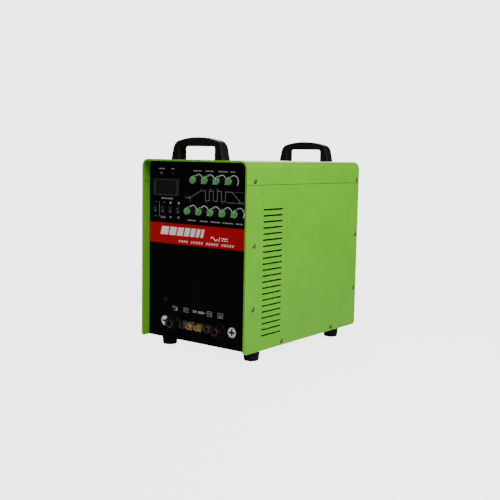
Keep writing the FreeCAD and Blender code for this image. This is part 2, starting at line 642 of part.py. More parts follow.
def gas_fitting(x):
    """Brass bulkhead fitting: hexagon outside, threaded barrel, hose barb inside."""
    hexa = hexagon(x, SOCKET_Z, 17.0, PANEL_Y - 9.0, PANEL_Y)
    barrel = turned(x, SOCKET_Z, [(GAS_BARREL_R - 0.7, PANEL_Y - 19.0),
                                  (GAS_BARREL_R, PANEL_Y - 18.3),
                                  (GAS_BARREL_R, PANEL_BACK + 8)])
    nut = hexagon(x, SOCKET_Z, 17.0, PANEL_BACK, PANEL_BACK + 5)
    barb = turned(x, SOCKET_Z, [(3.6, PANEL_BACK + 7), (3.6, PANEL_BACK + 22),
                                (3.0, PANEL_BACK + 23)])
    bore = along_y(x, SOCKET_Z, GAS_BORE_R, PANEL_Y - 25, PANEL_BACK + 30)
    return joined([hexa, barrel, nut, barb]).cut(bore)


# ---- rear ----
def rear_panel():
    """Steel rear panel with flanges turned rearwards, fan opening and fitting holes."""
    height = TOP - SHEET - GAP - BOTTOM
    sheet = plate(0, BOTTOM + height / 2, (2 * X_IN, height), REAR_IN, REAR_Y)
    sheet = rounded(sheet, "y", BEND_R - SHEET, lambda p: p.z > TOP - 5)
    flanges = []
    for side in (-1, 1):
        edge = sorted((side * X_IN, side * (X_IN - SHEET)))
        flanges.append(block(edge, (REAR_IN, Y_REAR - 3), (BOTTOM, TOP - 22)))
    cuts = [along_y(FAN_X, FAN_Z, FAN_BORE_R - 1, REAR_IN - 1, REAR_Y + 1)]
    for dx in (-FAN_HOLE_OFFSET, FAN_HOLE_OFFSET):
        for dz in (-FAN_HOLE_OFFSET, FAN_HOLE_OFFSET):
            cuts.append(along_y(FAN_X + dx, FAN_Z + dz, M4_R + 0.02, REAR_IN - 1, REAR_Y + 1))
    nose = (SWITCH_W + 0.4, 45.4)
    cuts.append(plate(SWITCH_X, SWITCH_Z, nose, REAR_IN - 1, REAR_Y + 1))
    cuts.append(along_y(GLAND_X, GLAND_Z, 12.1, REAR_IN - 1, REAR_Y + 1))
    cuts.append(along_y(EARTH_X, EARTH_Z, 4.1, REAR_IN - 1, REAR_Y + 1))
    cuts.append(along_y(VALVE_X, VALVE_Z, 7.1, REAR_IN - 1, REAR_Y + 1))
    for i in range(VENT_COUNT):
        z = REAR_VENT_Z0 + i * LOUVRE_PITCH
        cuts.append(slot_y(REAR_VENT_X, z, VENT_W, VENT_H, REAR_IN - 1, REAR_Y + 1))
    for y, z in SIDE_SCREW_YZ:
        if y > 150:
            cuts.append(along_x(y, z, M4_R + 0.02, -X_OUT, X_OUT))
    return joined([sheet] + flanges).cut(cuts)


def fan_frame():
    """Square fan housing with its round duct, corner holes, struts and shaft boss."""
    y0, y1 = REAR_IN - FAN_DEPTH, REAR_IN
    shape = plate(FAN_X, FAN_Z, (FAN_SIDE, FAN_SIDE), y0, y1, 5.0)
    shape = shape.cut(along_y(FAN_X, FAN_Z, FAN_BORE_R, y0 - 1, y1 + 1))
    struts = []
    for i in range(4):
        strut = block((-2.0, 2.0), (y0, y0 + 4.0), (5.0, FAN_BORE_R + 1.0))
        strut.rotate(Vector(0, 0, 0), Vector(0, 1, 0), 45 + 90 * i)
        struts.append(strut.translated(Vector(FAN_X, 0, FAN_Z)))
    boss = along_y(FAN_X, FAN_Z, FAN_HUB_R, y0, y0 + 4.0)
    sleeve = along_y(FAN_X, FAN_Z, 6.0, y0 + 3.0, y0 + 12.0)
    shape = joined([shape, boss, sleeve] + struts)
    cuts = [along_y(FAN_X, FAN_Z, 1.55, y0 + 1.5, y0 + 13)]
    for dx in (-FAN_HOLE_OFFSET, FAN_HOLE_OFFSET):
        for dz in (-FAN_HOLE_OFFSET, FAN_HOLE_OFFSET):
            cuts.append(along_y(FAN_X + dx, FAN_Z + dz, M4_R + 0.02, y0 - 1, y1 + 1))
    return shape.cut(cuts)


def fan_rotor():
    """Hub cup, shaft and pitched blades."""
    y0 = REAR_IN - FAN_DEPTH + 4.8
    y1 = REAR_IN - 5.0
    cup = along_y(FAN_X, FAN_Z, FAN_HUB_R, y0, y1)
    cup = cup.cut(along_y(FAN_X, FAN_Z, FAN_HUB_R - 2.0, y0 - 1, y1 - 2.5))
    shaft = along_y(FAN_X, FAN_Z, 1.5, REAR_IN - FAN_DEPTH + 2.0, y1 - 1)
    parts = [cup, shaft]
    ring = along_y(0, 0, FAN_BLADE_R, y0, y1)
    for i in range(FAN_BLADES):
        blade = block((-1.0, 1.0), (-17, 17), (FAN_HUB_R - 1.5, FAN_BLADE_R + 4))
        blade.rotate(Vector(0, 0, 0), Vector(0, 0, 1), 48)
        blade = blade.translated(Vector(0, (y0 + y1) / 2, 0))
        blade = blade.common(ring)
        blade.rotate(Vector(0, 0, 0), Vector(0, 1, 0), 360.0 / FAN_BLADES * i)
        parts.append(blade.translated(Vector(FAN_X, 0, FAN_Z)))
    return joined(parts)


def fan_guard():
    """Wire guard: rings on four spokes that end in screw eyes."""
    y = REAR_Y + 4.0
    wire_r = 1.1
    parts = []
    for radius in (14.0, 24.0, 34.0, 44.0, 54.0):
        parts.append(Part.makeTorus(radius, wire_r, Vector(FAN_X, y, FAN_Z), Vector(0, 1, 0)))
    reach = FAN_HOLE_OFFSET * math.sqrt(2.0)
    bend = reach - 5.8
    for i in range(4):
        angle = 45 + 90 * i
        spoke = along_z(0, y + 0.9, wire_r, 12.4, bend)
        drop = along_y(0, bend, wire_r + 0.3, REAR_Y + 0.4, y + 2.3)
        eye = along_y(0, reach, 6.5, REAR_Y, REAR_Y + 1.6)
        arm = joined([spoke, drop, eye])
        arm = arm.cut(along_y(0, reach, M4_R + 0.02, REAR_Y - 1, REAR_Y + 8))
        arm.rotate(Vector(0, 0, 0), Vector(0, 1, 0), angle)
        parts.append(arm.translated(Vector(FAN_X, 0, FAN_Z)))
    return joined(parts)


def power_switch_housing():
    """Mains breaker body behind the panel, its nose through it, slotted for the lever."""
    body = plate(SWITCH_X, SWITCH_Z, (SWITCH_W, 78.0), REAR_IN - 52, REAR_IN, 1.5)
    nose = plate(SWITCH_X, SWITCH_Z, (SWITCH_W, 45.0), REAR_IN - 2, REAR_Y + 8.0, 1.0)
    slot = block((SWITCH_X - 5.0, SWITCH_X + 5.0), (REAR_Y - 9.0, REAR_Y + 9.0),
                 (SWITCH_Z - 14.0, SWITCH_Z + 14.0))
    pivot = along_x(REAR_Y, SWITCH_Z, LEVER_PIN_BORE_R, SWITCH_X - 8.2, SWITCH_X + 8.2)
    return joined([body, nose]).cut([slot, pivot])


def power_switch_lever():
    """Breaker lever on its pivot pin, resting down in the off position."""
    hub = along_x(REAR_Y, SWITCH_Z, LEVER_HUB_R, SWITCH_X - 4.6, SWITCH_X + 4.6)
    pin = along_x(REAR_Y, SWITCH_Z, LEVER_PIN_R, SWITCH_X - 8.0, SWITCH_X + 8.0)
    paddle = block((SWITCH_X - 4.6, SWITCH_X + 4.6), (REAR_Y, REAR_Y + LEVER_REACH),
                   (SWITCH_Z - 2.8, SWITCH_Z + 2.8))
    paddle = rounded(paddle, "x", 2.0, lambda p: p.y > REAR_Y + LEVER_REACH - 0.1)
    lever = joined([hub, pin, paddle])
    lever.rotate(Vector(SWITCH_X, REAR_Y, SWITCH_Z), Vector(1, 0, 0), -LEVER_ANGLE)
    return lever


def cable_gland():
    """Nylon gland for the mains cable, with its lock nut inside the panel."""
    hexa = hexagon(GLAND_X, GLAND_Z, 27.0, REAR_Y, REAR_Y + 6.0)
    dome = turned(GLAND_X, GLAND_Z, [(12.8, REAR_Y + 5), (12.8, REAR_Y + 12),
                                     (11.6, REAR_Y + 16.5), (8.6, REAR_Y + 18.5)])
    thread = along_y(GLAND_X, GLAND_Z, 12.0, REAR_IN - 9, REAR_Y + 1)
    nut = hexagon(GLAND_X, GLAND_Z, 27.0, REAR_IN - 5, REAR_IN)
    bore = along_y(GLAND_X, GLAND_Z, GLAND_BORE_R, REAR_IN - 10, REAR_Y + 20)
    return joined([hexa, dome, thread, nut]).cut(bore)


def earth_stud():
    """M8 earthing bolt with its nuts and washer."""
    stud = along_y(EARTH_X, EARTH_Z, 4.0, REAR_IN - 12, REAR_Y + 18)
    parts = [stud, along_y(EARTH_X, EARTH_Z, 8.0, REAR_Y, REAR_Y + 1.6),
             hexagon(EARTH_X, EARTH_Z, 13.0, REAR_Y + 1.6, REAR_Y + 7.6),
             hexagon(EARTH_X, EARTH_Z, 13.0, REAR_IN - 6, REAR_IN)]
    return joined(parts)


def gas_solenoid_valve():
    """Shielding-gas valve: brass body, coil on top, inlet nipple through the rear panel."""
    x, z = VALVE_X, VALVE_Z
    body = block((x - 14, x + 14), (REAR_IN - 40, REAR_IN - 8), (z - 12, z + 12))
    neck = along_y(x, z, 7.0, REAR_IN - 9, REAR_Y + 8)
    barb = along_y(x, z, 4.6, REAR_Y + 7, REAR_Y + 19)
    nut = hexagon(x, z, 17.0, REAR_Y, REAR_Y + 5)
    lock = hexagon(x, z, 17.0, REAR_IN - 5, REAR_IN)
    coil = block((x - 13, x + 13), (REAR_IN - 38, REAR_IN - 10), (z + 12, z + 42))
    cap = along_z(x, REAR_IN - 24, 5.0, z + 42, z + 47)
    outlet = along_y(x, z, 3.6, REAR_IN - 56, REAR_IN - 39)
    bore = along_y(x, z, GAS_BORE_R, REAR_IN - 58, REAR_Y + 20)
    return joined([body, neck, barb, nut, lock, coil, cap, outlet]).cut(bore)


# ---- internals ----
def gas_hose():
    """Hose from the valve to the outlet fitting: straight runs joined by tangent arcs."""
    outer, inner = 6.0, 3.7
    z = SOCKET_Z
    x0, y0 = VALVE_X, REAR_IN - 41.5
    x1, y1 = GAS_X[0], PANEL_BACK + 8.5
    rise = VALVE_Z - SOCKET_Z
    turn = 25.0
    corner_a = Vector(x0, -118.0, z + rise)
    corner_b = Vector(x1, -118.0, z)
    start, end = Vector(x0, y0, z + rise), Vector(x1, y1, z)
    along = (corner_b - corner_a).normalize()
    bend_a = (corner_a + Vector(0, turn, 0), corner_a + along * turn)
    bend_b = (corner_b - along * turn, corner_b - Vector(0, turn, 0))
    k = turn * (1 - math.sqrt(0.5))
    mid_a = corner_a + (Vector(0, 1, 0) + along) * k
    mid_b = corner_b - (Vector(0, 1, 0) + along) * k
    path = Part.Wire([
        Part.makeLine(start, bend_a[0]),
        Part.Arc(bend_a[0], mid_a, bend_a[1]).toShape(),
        Part.makeLine(bend_a[1], bend_b[0]),
        Part.Arc(bend_b[0], mid_b, bend_b[1]).toShape(),
        Part.makeLine(bend_b[1], end),
    ])
    tubes = []
    for radius in (outer, inner):
        ring = Part.Wire([Part.makeCircle(radius, start, Vector(0, 1, 0))])
        tubes.append(path.makePipeShell([ring], True, True))
    hose = tubes[0].cut(tubes[1])
    length = path.Length
    print("hose", round(length, 1), "mm,", round(hose.Volume / (math.pi * (outer ** 2 - inner ** 2)), 1))
    return hose


def heat_sink():
    """Finned extrusion standing on the floor beside the power board."""
    base = block((24, 32), (-70, 120), (FLOOR_Z, FLOOR_Z + 130))
    fins = [base]
    for i in range(14):
        z = FLOOR_Z + 4 + i * 9.4
        fins.append(block((31, 72), (-70, 120), (z, z + 2.0)))
    foot_rail = block((24, 72), (-70, 120), (FLOOR_Z, FLOOR_Z + 4))
    return joined(fins + [foot_rail])


def power_board():
    """Inverter board on edge, its power transistors flat against the heat sink."""
    board = block((6.0, 7.6), (-86, 130), (FLOOR_Z + 4, FLOOR_Z + 165))
    parts = [board]
    for row in range(2):
        for i in range(6):
            y = -60 + 30 * i
            z = FLOOR_Z + 30 + 55 * row
            parts.append(block((7.6, 24.0), (y, y + 16), (z, z + 21)))
    parts.append(block((7.6, 22.0), (-40, 90), (FLOOR_Z + 135, FLOOR_Z + 155)))
    return joined(parts)


def control_board():
    """Control circuit board behind the knobs, on four standoffs."""
    y0 = PANEL_BACK + 28.0
    board = block((-40, 130), (y0, y0 + 1.6), (BOTTOM + 235, BOTTOM + 372))
    parts = [board]
    for x in (-34, 124):
        for z in (BOTTOM + 242, BOTTOM + 366):
            parts.append(along_y(x, z, 3.0, PANEL_BACK, y0 + 0.5))
    parts.append(block((-20, 15), (y0 + 1.6, y0 + 5), (BOTTOM + 300, BOTTOM + 335)))
    parts.append(block((30, 90), (y0 + 1.6, y0 + 11), (BOTTOM + 250, BOTTOM + 262)))
    for i in range(4):
        parts.append(along_y(35 + 18 * i, BOTTOM + 350, 5.0, y0 + 1.6, y0 + 13))
    return joined(parts)


def main_transformer():
    """Ferrite transformer: core yokes and limbs round a wound bobbin, on a foot plate."""
    core = block((-86, -26), (30, 110), (FLOOR_Z + 3, FLOOR_Z + 83))
    windows = [block((-87, -25), (46, 62), (FLOOR_Z + 19, FLOOR_Z + 67)),
               block((-87, -25), (78, 94), (FLOOR_Z + 19, FLOOR_Z + 67))]
    core = core.cut(windows)
    bobbin = block((-92, -20), (48, 92), (FLOOR_Z + 21, FLOOR_Z + 65))
    bobbin = rounded(bobbin, "z", 6.0)
    foot_plate = block((-90, -22), (26, 114), (FLOOR_Z, FLOOR_Z + 3))
    return joined([core, bobbin, foot_plate])


def output_inductor():
    """Toroidal output choke lying on the floor, with its turns as ribs."""
    x, y, z0 = -52.0, -20.0, FLOOR_Z
    ring = along_z(x, y, 34, z0, z0 + 34).cut(along_z(x, y, 14, z0 - 1, z0 + 35))
    parts = [ring]
    for i in range(20):
        turn = block((12.5, 35.5), (-2.2, 2.2), (z0 + 30, z0 + 36.5))
        side = block((32, 36.5), (-2.2, 2.2), (z0, z0 + 36.5))
        both = joined([turn, side])
        both.rotate(Vector(0, 0, 0), Vector(0, 0, 1), 18.0 * i)
        parts.append(both.translated(Vector(x, y, 0)))
    return joined(parts)


def bulk_capacitors():
    """Four snap-in electrolytic capacitors beside the heat sink."""
    cans = []
    for i in range(4):
        can = along_z(102, -60 + 42 * i, 17.5, FLOOR_Z, FLOOR_Z + 50)
        top_edges = [e for e in can.Edges if e.CenterOfMass.z > FLOOR_Z + 49 and e.Length > 50]
        cans.append(can.makeFillet(1.5, top_edges))
    return Part.makeCompound(cans)


def hf_ignition_coil():
    """High-frequency coupling coil on its insulating saddle."""
    x, z = 60.0, FLOOR_Z + 42
    core = along_y(x, z, 22, -148, -92)
    core = core.cut(along_y(x, z, 9, -149, -91))
    ribs = [core]
    for i in range(6):
        y = -144 + 9.0 * i
        ribs.append(along_y(x, z, 25, y, y + 5).cut(along_y(x, z, 21, y - 1, y + 6)))
    saddle = block((x - 20, x + 20), (-140, -100), (FLOOR_Z, z - 18))
    return joined(ribs + [saddle])


# ---- fasteners ----
def pan_head(radius, height):
    """Pan head standing on z = 0, with a cross recess."""
    head = Part.makeCylinder(radius, height)
    top_edges = [e for e in head.Edges if e.CenterOfMass.z > height - 0.01 and e.Length > 2 * radius]
    head = head.makeFillet(height * 0.55, top_edges)
    arm = radius * 0.62
    cross = [block((-arm, arm), (-0.45, 0.45), (height * 0.45, height + 1)),
             block((-0.45, 0.45), (-arm, arm), (height * 0.45, height + 1))]
    return head.cut(cross)


def screw(shank_r, head_r, head_h, length):
    """Pan-head screw: head above z = 0, shank below."""
    shank = Part.makeCylinder(shank_r, length, Vector(0, 0, -length), Vector(0, 0, 1))
    return joined([pan_head(head_r, head_h), shank])


def collar_screw(length):
    """M4 case screw with a washer face under its head."""
    collar = Part.makeCylinder(M4_COLLAR_R, M4_COLLAR_H)
    return joined([screw(M4_R, M4_HEAD_R, M4_HEAD_H, length), collar])


def m4_screws():
    """Case screws along both sides, the fan's four, one low on the front, two under the pan."""
    side = collar_screw(6.5)
    side.rotate(Vector(0, 0, 0), Vector(0, 1, 0), 90)
    screws = []
    for y, z in SIDE_SCREW_YZ:
        one = side.translated(Vector(X_OUT, y, z))
        screws.append(one)
        screws.append(mirrored(one))
    rear = screw(M4_R, M4_HEAD_R, M4_HEAD_H, 10.0)
    rear.rotate(Vector(0, 0, 0), Vector(1, 0, 0), -90)
    for dx in (-FAN_HOLE_OFFSET, FAN_HOLE_OFFSET):
        for dz in (-FAN_HOLE_OFFSET, FAN_HOLE_OFFSET):
            screws.append(rear.translated(Vector(FAN_X + dx, REAR_Y + 1.6, FAN_Z + dz)))
    front = collar_screw(8.0)
    front.rotate(Vector(0, 0, 0), Vector(1, 0, 0), 90)
    screws.append(front.translated(Vector(FRONT_SCREW_XZ[0], PANEL_Y, FRONT_SCREW_XZ[1])))
    under = screw(M4_R, M4_HEAD_R, M4_HEAD_H, 6.0)
    under.rotate(Vector(0, 0, 0), Vector(1, 0, 0), 180)
    for x, y in FLOOR_SCREW_XY:
        screws.append(under.translated(Vector(x, y, BOTTOM)))
    return Part.makeCompound(screws)


def m5_screws():
    """Foot screws up into the floor pan and handle screws up through the cap."""
    up = screw(M5_R, M5_HEAD_R, M5_HEAD_H, 15.0)
    up.rotate(Vector(0, 0, 0), Vector(1, 0, 0), 180)
    screws = []
    for sx in (-1, 1):
        for sy in (-1, 1):
            screws.append(up.translated(Vector(sx * FOOT_X, sy * FOOT_Y, FOOT_H - 8.0)))
        for y in HANDLE_SCREW_Y.values():
            screws.append(up.translated(Vector(sx * HANDLE_SCREW_X, y, TOP - SHEET)))
    return Part.makeCompound(screws)


def main():
    """Build every sub-part and write it."""
    os.makedirs("parts", exist_ok=True)
    save("top_cover", top_cover())
    right = right_side_panel()
    save("right_side_panel", right)
    save("left_side_panel", mirrored(right))
    save("base_plate", base_plate())
    for row, sy in (("front", -1), ("rear", 1)):
        for side, sx in (("left", -1), ("right", 1)):
            save("foot_%s_%s" % (row, side), foot(sx, sy))
    for name, y in HANDLE_Y.items():
        save(name, handle(y, HANDLE_SCREW_Y[name]))
    save("front_panel", front_panel())
    save("control_overlay", control_overlay())
    save("red_band", red_band())
    save("display_bezel", display_bezel())
    save("display_window", display_window())
    save("display_module", display_module())
    for name, x in LED_X.items():
        save(name, indicator(x))
    save("rocker_housings", Part.makeCompound([rocker_housing(x) for x in ROCKER_X]))
    for i, x in enumerate(ROCKER_X):
        save("rocker_%d" % (i + 1), rocker(x))
    places = control_positions()
    save("potentiometers", Part.makeCompound([potentiometer(x, z) for x, z in places.values()]))
    for name, (x, z) in places.items():
        save(name, Part.makeCompound([knob_body(x, z), knob_cap(x, z)]))
    for name, x in WELD_SOCKET_X.items():
        save("weld_socket_" + name, weld_socket_housing(x))
        save("socket_contact_" + name, weld_socket_insert(x))
    for name, x in CONTROL_SOCKET_X.items():
        save(name, control_socket(x))
    save("gas_fittings", Part.makeCompound([gas_fitting(x) for x in GAS_X]))
    save("dust_screens", dust_screens())
    save("rear_panel", rear_panel())
    save("fan_frame", fan_frame())
    save("fan_rotor", fan_rotor())
    save("fan_guard", fan_guard())
    save("power_switch_housing", power_switch_housing())
    save("power_switch_lever", power_switch_lever())
    save("cable_gland", cable_gland())
    save("earth_stud", earth_stud())
    save("gas_solenoid_valve", gas_solenoid_valve())
    save("gas_hose", gas_hose())
    save("heat_sink", heat_sink())
    save("power_board", power_board())
    save("control_board", control_board())
    save("main_transformer", main_transformer())
    save("output_inductor", output_inductor())
    save("bulk_capacitors", bulk_capacitors())
    save("hf_ignition_coil", hf_ignition_coil())
    save("m4_screws", m4_screws())
    save("m5_screws", m5_screws())


main()
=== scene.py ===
"""Looks of a green inverter TIG welding machine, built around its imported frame.

Metres in Blender; sizes in this file are in millimetres unless a name says otherwise.
-Y is the control side, +X the right-hand side, +Z up, and the feet stand on z = 0.
"""

import json
import logging
import math
from dataclasses import dataclass, field
from enum import Enum
from functools import cached_property
from typing import Callable, Iterable, Optional, Sequence

import bmesh
import bpy
from mathutils import Matrix, Vector


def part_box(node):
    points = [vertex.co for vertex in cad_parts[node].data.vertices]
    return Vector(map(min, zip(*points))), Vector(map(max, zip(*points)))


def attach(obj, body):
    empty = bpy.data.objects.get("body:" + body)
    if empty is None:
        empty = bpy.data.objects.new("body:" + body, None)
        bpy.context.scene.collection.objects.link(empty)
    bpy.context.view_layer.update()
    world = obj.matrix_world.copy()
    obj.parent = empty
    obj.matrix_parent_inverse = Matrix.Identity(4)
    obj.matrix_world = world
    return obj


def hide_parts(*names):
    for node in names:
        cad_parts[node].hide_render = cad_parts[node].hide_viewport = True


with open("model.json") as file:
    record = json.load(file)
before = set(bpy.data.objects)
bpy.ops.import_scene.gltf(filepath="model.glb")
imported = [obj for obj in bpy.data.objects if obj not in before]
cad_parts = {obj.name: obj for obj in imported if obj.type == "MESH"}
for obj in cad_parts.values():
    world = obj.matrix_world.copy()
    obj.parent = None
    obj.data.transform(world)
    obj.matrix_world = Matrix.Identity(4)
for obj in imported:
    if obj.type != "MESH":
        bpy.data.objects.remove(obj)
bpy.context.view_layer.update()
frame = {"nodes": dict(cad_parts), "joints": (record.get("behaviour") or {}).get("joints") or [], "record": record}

LOG = logging.getLogger("welder")
MM = 0.001
PANEL_SHEET = 1.5           # thickness of the front panel
Point2 = tuple[float, float]
Point3 = tuple[float, float, float]
Ripple = Callable[[float, float, float], float]     # radius from angle, radius and distance
Caption = tuple[float, float, tuple[int, ...]]      # centre, width and shares of its words


# --------------------------------------------------------------------------- colour and nodes
def linear(code: str, alpha: float = 1.0) -> tuple[float, float, float, float]:
    """Turns an sRGB hex code into the linear colour that shaders work in.

    Args:
        code: Six hex digits, with or without a leading '#'.
        alpha: Fourth channel of the result.

    Returns:
        Linear red, green, blue and alpha.
    """
    digits = code.lstrip("#")
    channels = [int(digits[i:i + 2], 16) / 255.0 for i in (0, 2, 4)]
    curve = [c / 12.92 if c <= 0.04045 else ((c + 0.055) / 1.055) ** 2.4 for c in channels]
    return (curve[0], curve[1], curve[2], alpha)


def add_node(tree: bpy.types.NodeTree, kind: str, inputs: Optional[dict] = None,
             **settings) -> bpy.types.Node:
    """Adds one shader node, sets it up and links what feeds it.

    Args:
        tree: Node tree that gets the node.
        kind: Blender's type name, such as "ShaderNodeBump".
        inputs: Input name or index to a plain value, or to the output socket that feeds it.
        **settings: Properties of the node itself.

    Returns:
        The new node.
    """
    node = tree.nodes.new(kind)
    for name, value in settings.items():
        setattr(node, name, value)
    for key, value in (inputs or {}).items():
        if isinstance(value, bpy.types.NodeSocket):
            tree.links.new(value, node.inputs[key])
        else:
            node.inputs[key].default_value = value
    return node


def per_metre(size_mm: float) -> float:
    """Texture scale whose features are size_mm across, in object coordinates."""
    return 1.0 / (size_mm * MM)


def wave_scale(pitch_mm: float) -> float:
    """Scale of a wave texture that repeats every pitch_mm."""
    return math.tau / 20.0 / (pitch_mm * MM)


# Nearly all values of a noise texture lie between these.
NOISE_SPAN = {"From Min": 0.3, "From Max": 0.7}


# --------------------------------------------------------------------------- finishes
class Along(Enum):
    """Direction that turns, tool lines or threads follow each other in."""

    X = "X"
    Y = "Y"
    Z = "Z"


@dataclass(frozen=True)
class Finish:
    """A surface finish: how one real material looks, made once and shared."""

    name: str
    colour: str

    def material(self) -> bpy.types.Material:
        """Blender material of this finish, made on first use."""
        found = bpy.data.materials.get("finish_" + self.name)
        if found:
            return found
        made = bpy.data.materials.new("finish_" + self.name)
        made.use_nodes = True
        tree = made.node_tree
        tree.nodes.clear()
        where = add_node(tree, "ShaderNodeTexCoord").outputs["Object"]
        shader = add_node(tree, "ShaderNodeBsdfPrincipled", self.surface(tree, where))
        add_node(tree, "ShaderNodeOutputMaterial", {"Surface": shader.outputs[0]})
        made.diffuse_color = linear(self.colour)
        return made

    def surface(self, tree: bpy.types.NodeTree, where: bpy.types.NodeSocket) -> dict:
        """Inputs of the shader for this finish.

        Args:
            tree: Node tree of the material.
            where: Object coordinates, which are the machine's own metres.

        Returns:
            Shader input name to its plain value or the socket that feeds it.
        """
        raise NotImplementedError

    def soft_edge_highlight(self, tree: bpy.types.NodeTree, radius_mm: float, share: float
                  ) -> tuple[bpy.types.NodeSocket, bpy.types.NodeSocket]:
        """Edges drawn soft, and a mask for the painted highlight along them.

        Args:
            tree: Node tree of the material.
            radius_mm: Width of the softening.
            share: How strongly the painted highlight colour shows on the edge itself.

        Returns:
            The softened normal, and a painted highlight mask that rises to share on edges.
        """
        soft = add_node(tree, "ShaderNodeBevel", {"Radius": radius_mm * MM}, samples=6)
        flat = add_node(tree, "ShaderNodeNewGeometry")
        facing = add_node(tree, "ShaderNodeVectorMath", {
            0: soft.outputs[0], 1: flat.outputs["Normal"]}, operation="DOT_PRODUCT")
        # Painted highlight: the mask lightens the colour where the softened normal turns away from the flat one.
        mask = add_node(tree, "ShaderNodeMapRange", {
            "Value": facing.outputs["Value"], "From Min": 0.80, "From Max": 0.985,
            "To Min": share, "To Max": 0.0})
        return soft.outputs[0], mask.outputs[0]

    def two_tone(self, tree: bpy.types.NodeTree, pattern: bpy.types.NodeSocket, span: Point2,
                 share: float, other: str) -> bpy.types.NodeSocket:
        """The finish's colour, which gives way to another where a pattern is strong.

        Args:
            tree: Node tree of the material.
            pattern: Socket that holds the pattern.
            span: Values of the pattern where the other colour starts and is fullest.
            share: How much of the other colour there is at its fullest.
            other: The other colour.

        Returns:
            The mixed colour.
        """
        mask = add_node(tree, "ShaderNodeMapRange", {
            "Value": pattern, "From Min": span[0], "From Max": span[1],
            "To Min": 0.0, "To Max": share})
        mix = add_node(tree, "ShaderNodeMix", {
            0: mask.outputs[0], 6: linear(self.colour), 7: linear(other)}, data_type="RGBA")
        return mix.outputs[2]


@dataclass(frozen=True)
class PowderCoat(Finish):
    """Polyester powder baked on folded steel: an even colour, a faint orange peel, soft edges with a painted
    highlight.
    """

    # Painted highlight colour along the edges, lighter than the paint.
    edge: str = "#86C740"
    rough: float = 0.36
    peel_mm: float = 2.2        # real peel is nearer 1 mm; drawn coarser so that it shows
    gloss: float = 0.3
    mottle: float = 0.06

    def surface(self, tree: bpy.types.NodeTree, where: bpy.types.NodeSocket) -> dict:
        """Cloudy colour, a painted highlight as a lighter line along edges, and peel in the gloss."""
        # Painted highlight: a lighter green along the hem edges.
        soft, highlight_mask = self.soft_edge_highlight(tree, 0.7, 0.8)
        cloud = add_node(tree, "ShaderNodeTexNoise", {
            "Vector": where, "Scale": per_metre(55.0)})
        value = add_node(tree, "ShaderNodeMapRange", {
            "Value": cloud.outputs[0], **NOISE_SPAN,
            "To Min": 1.0 - self.mottle, "To Max": 1.0 + self.mottle})
        shade = add_node(tree, "ShaderNodeHueSaturation", {
            "Color": linear(self.colour), "Value": value.outputs[0]})
        edge_highlighted = add_node(tree, "ShaderNodeMix", {
            0: highlight_mask, 6: shade.outputs[0], 7: linear(self.edge)}, data_type="RGBA")
        streak = add_node(tree, "ShaderNodeTexNoise", {
            "Vector": where, "Scale": per_metre(14.0), "Detail": 4.0})
        dull = add_node(tree, "ShaderNodeMapRange", {
            "Value": streak.outputs[0], **NOISE_SPAN,
            "To Min": self.rough - 0.05, "To Max": self.rough + 0.06})
        peel = add_node(tree, "ShaderNodeTexNoise", {
            "Vector": where, "Scale": per_metre(self.peel_mm), "Detail": 1.0})
        relief = add_node(tree, "ShaderNodeBump", {
            "Height": peel.outputs[0], "Normal": soft, "Distance": 0.03 * MM, "Strength": 0.35})
        return {"Base Color": edge_highlighted.outputs[2], "Roughness": dull.outputs[0],
                "Normal": relief.outputs[0], "Specular IOR Level": self.gloss}


@dataclass(frozen=True)
class MouldedPlastic(Finish):
    """Injection-moulded plastic with spark-eroded grain: dull, even, a little lighter on edges as a painted
    highlight.
    """

    # Painted highlight colour along the edges, lighter than the plastic.
    edge: str = "#1A1A1B"
    rough: float = 0.5
    grain_mm: float = 0.9       # real grain is about 0.15 mm; drawn coarser so that it shows
    gloss: float = 0.25

    def surface(self, tree: bpy.types.NodeTree, where: bpy.types.NodeSocket) -> dict:
        """Fine grain in colour, gloss and normal, with a painted highlight that makes edges a shade lighter."""
        # Painted highlight: edges a shade lighter than the face.
        soft, highlight_mask = self.soft_edge_highlight(tree, 0.5, 0.5)
        grain = add_node(tree, "ShaderNodeTexNoise", {
            "Vector": where, "Scale": per_metre(self.grain_mm), "Detail": 1.5})
        value = add_node(tree, "ShaderNodeMapRange", {
            "Value": grain.outputs[0], **NOISE_SPAN,
            "To Min": 0.85, "To Max": 1.15})
        edge_highlighted = add_node(tree, "ShaderNodeMix", {
            0: highlight_mask, 6: linear(self.colour), 7: linear(self.edge)}, data_type="RGBA")
        speck = add_node(tree, "ShaderNodeHueSaturation", {
            "Color": edge_highlighted.outputs[2], "Value": value.outputs[0]})
        cloud = add_node(tree, "ShaderNodeTexNoise", {
            "Vector": where, "Scale": per_metre(22.0)})
        dull = add_node(tree, "ShaderNodeMapRange", {
            "Value": cloud.outputs[0], **NOISE_SPAN,
            "To Min": self.rough - 0.06, "To Max": self.rough + 0.08})
        relief = add_node(tree, "ShaderNodeBump", {
            "Height": grain.outputs[0], "Normal": soft, "Distance": 0.03 * MM, "Strength": 0.5})
        return {"Base Color": speck.outputs[0], "Roughness": dull.outputs[0],
                "Normal": relief.outputs[0], "Specular IOR Level": self.gloss, "IOR": 1.53}


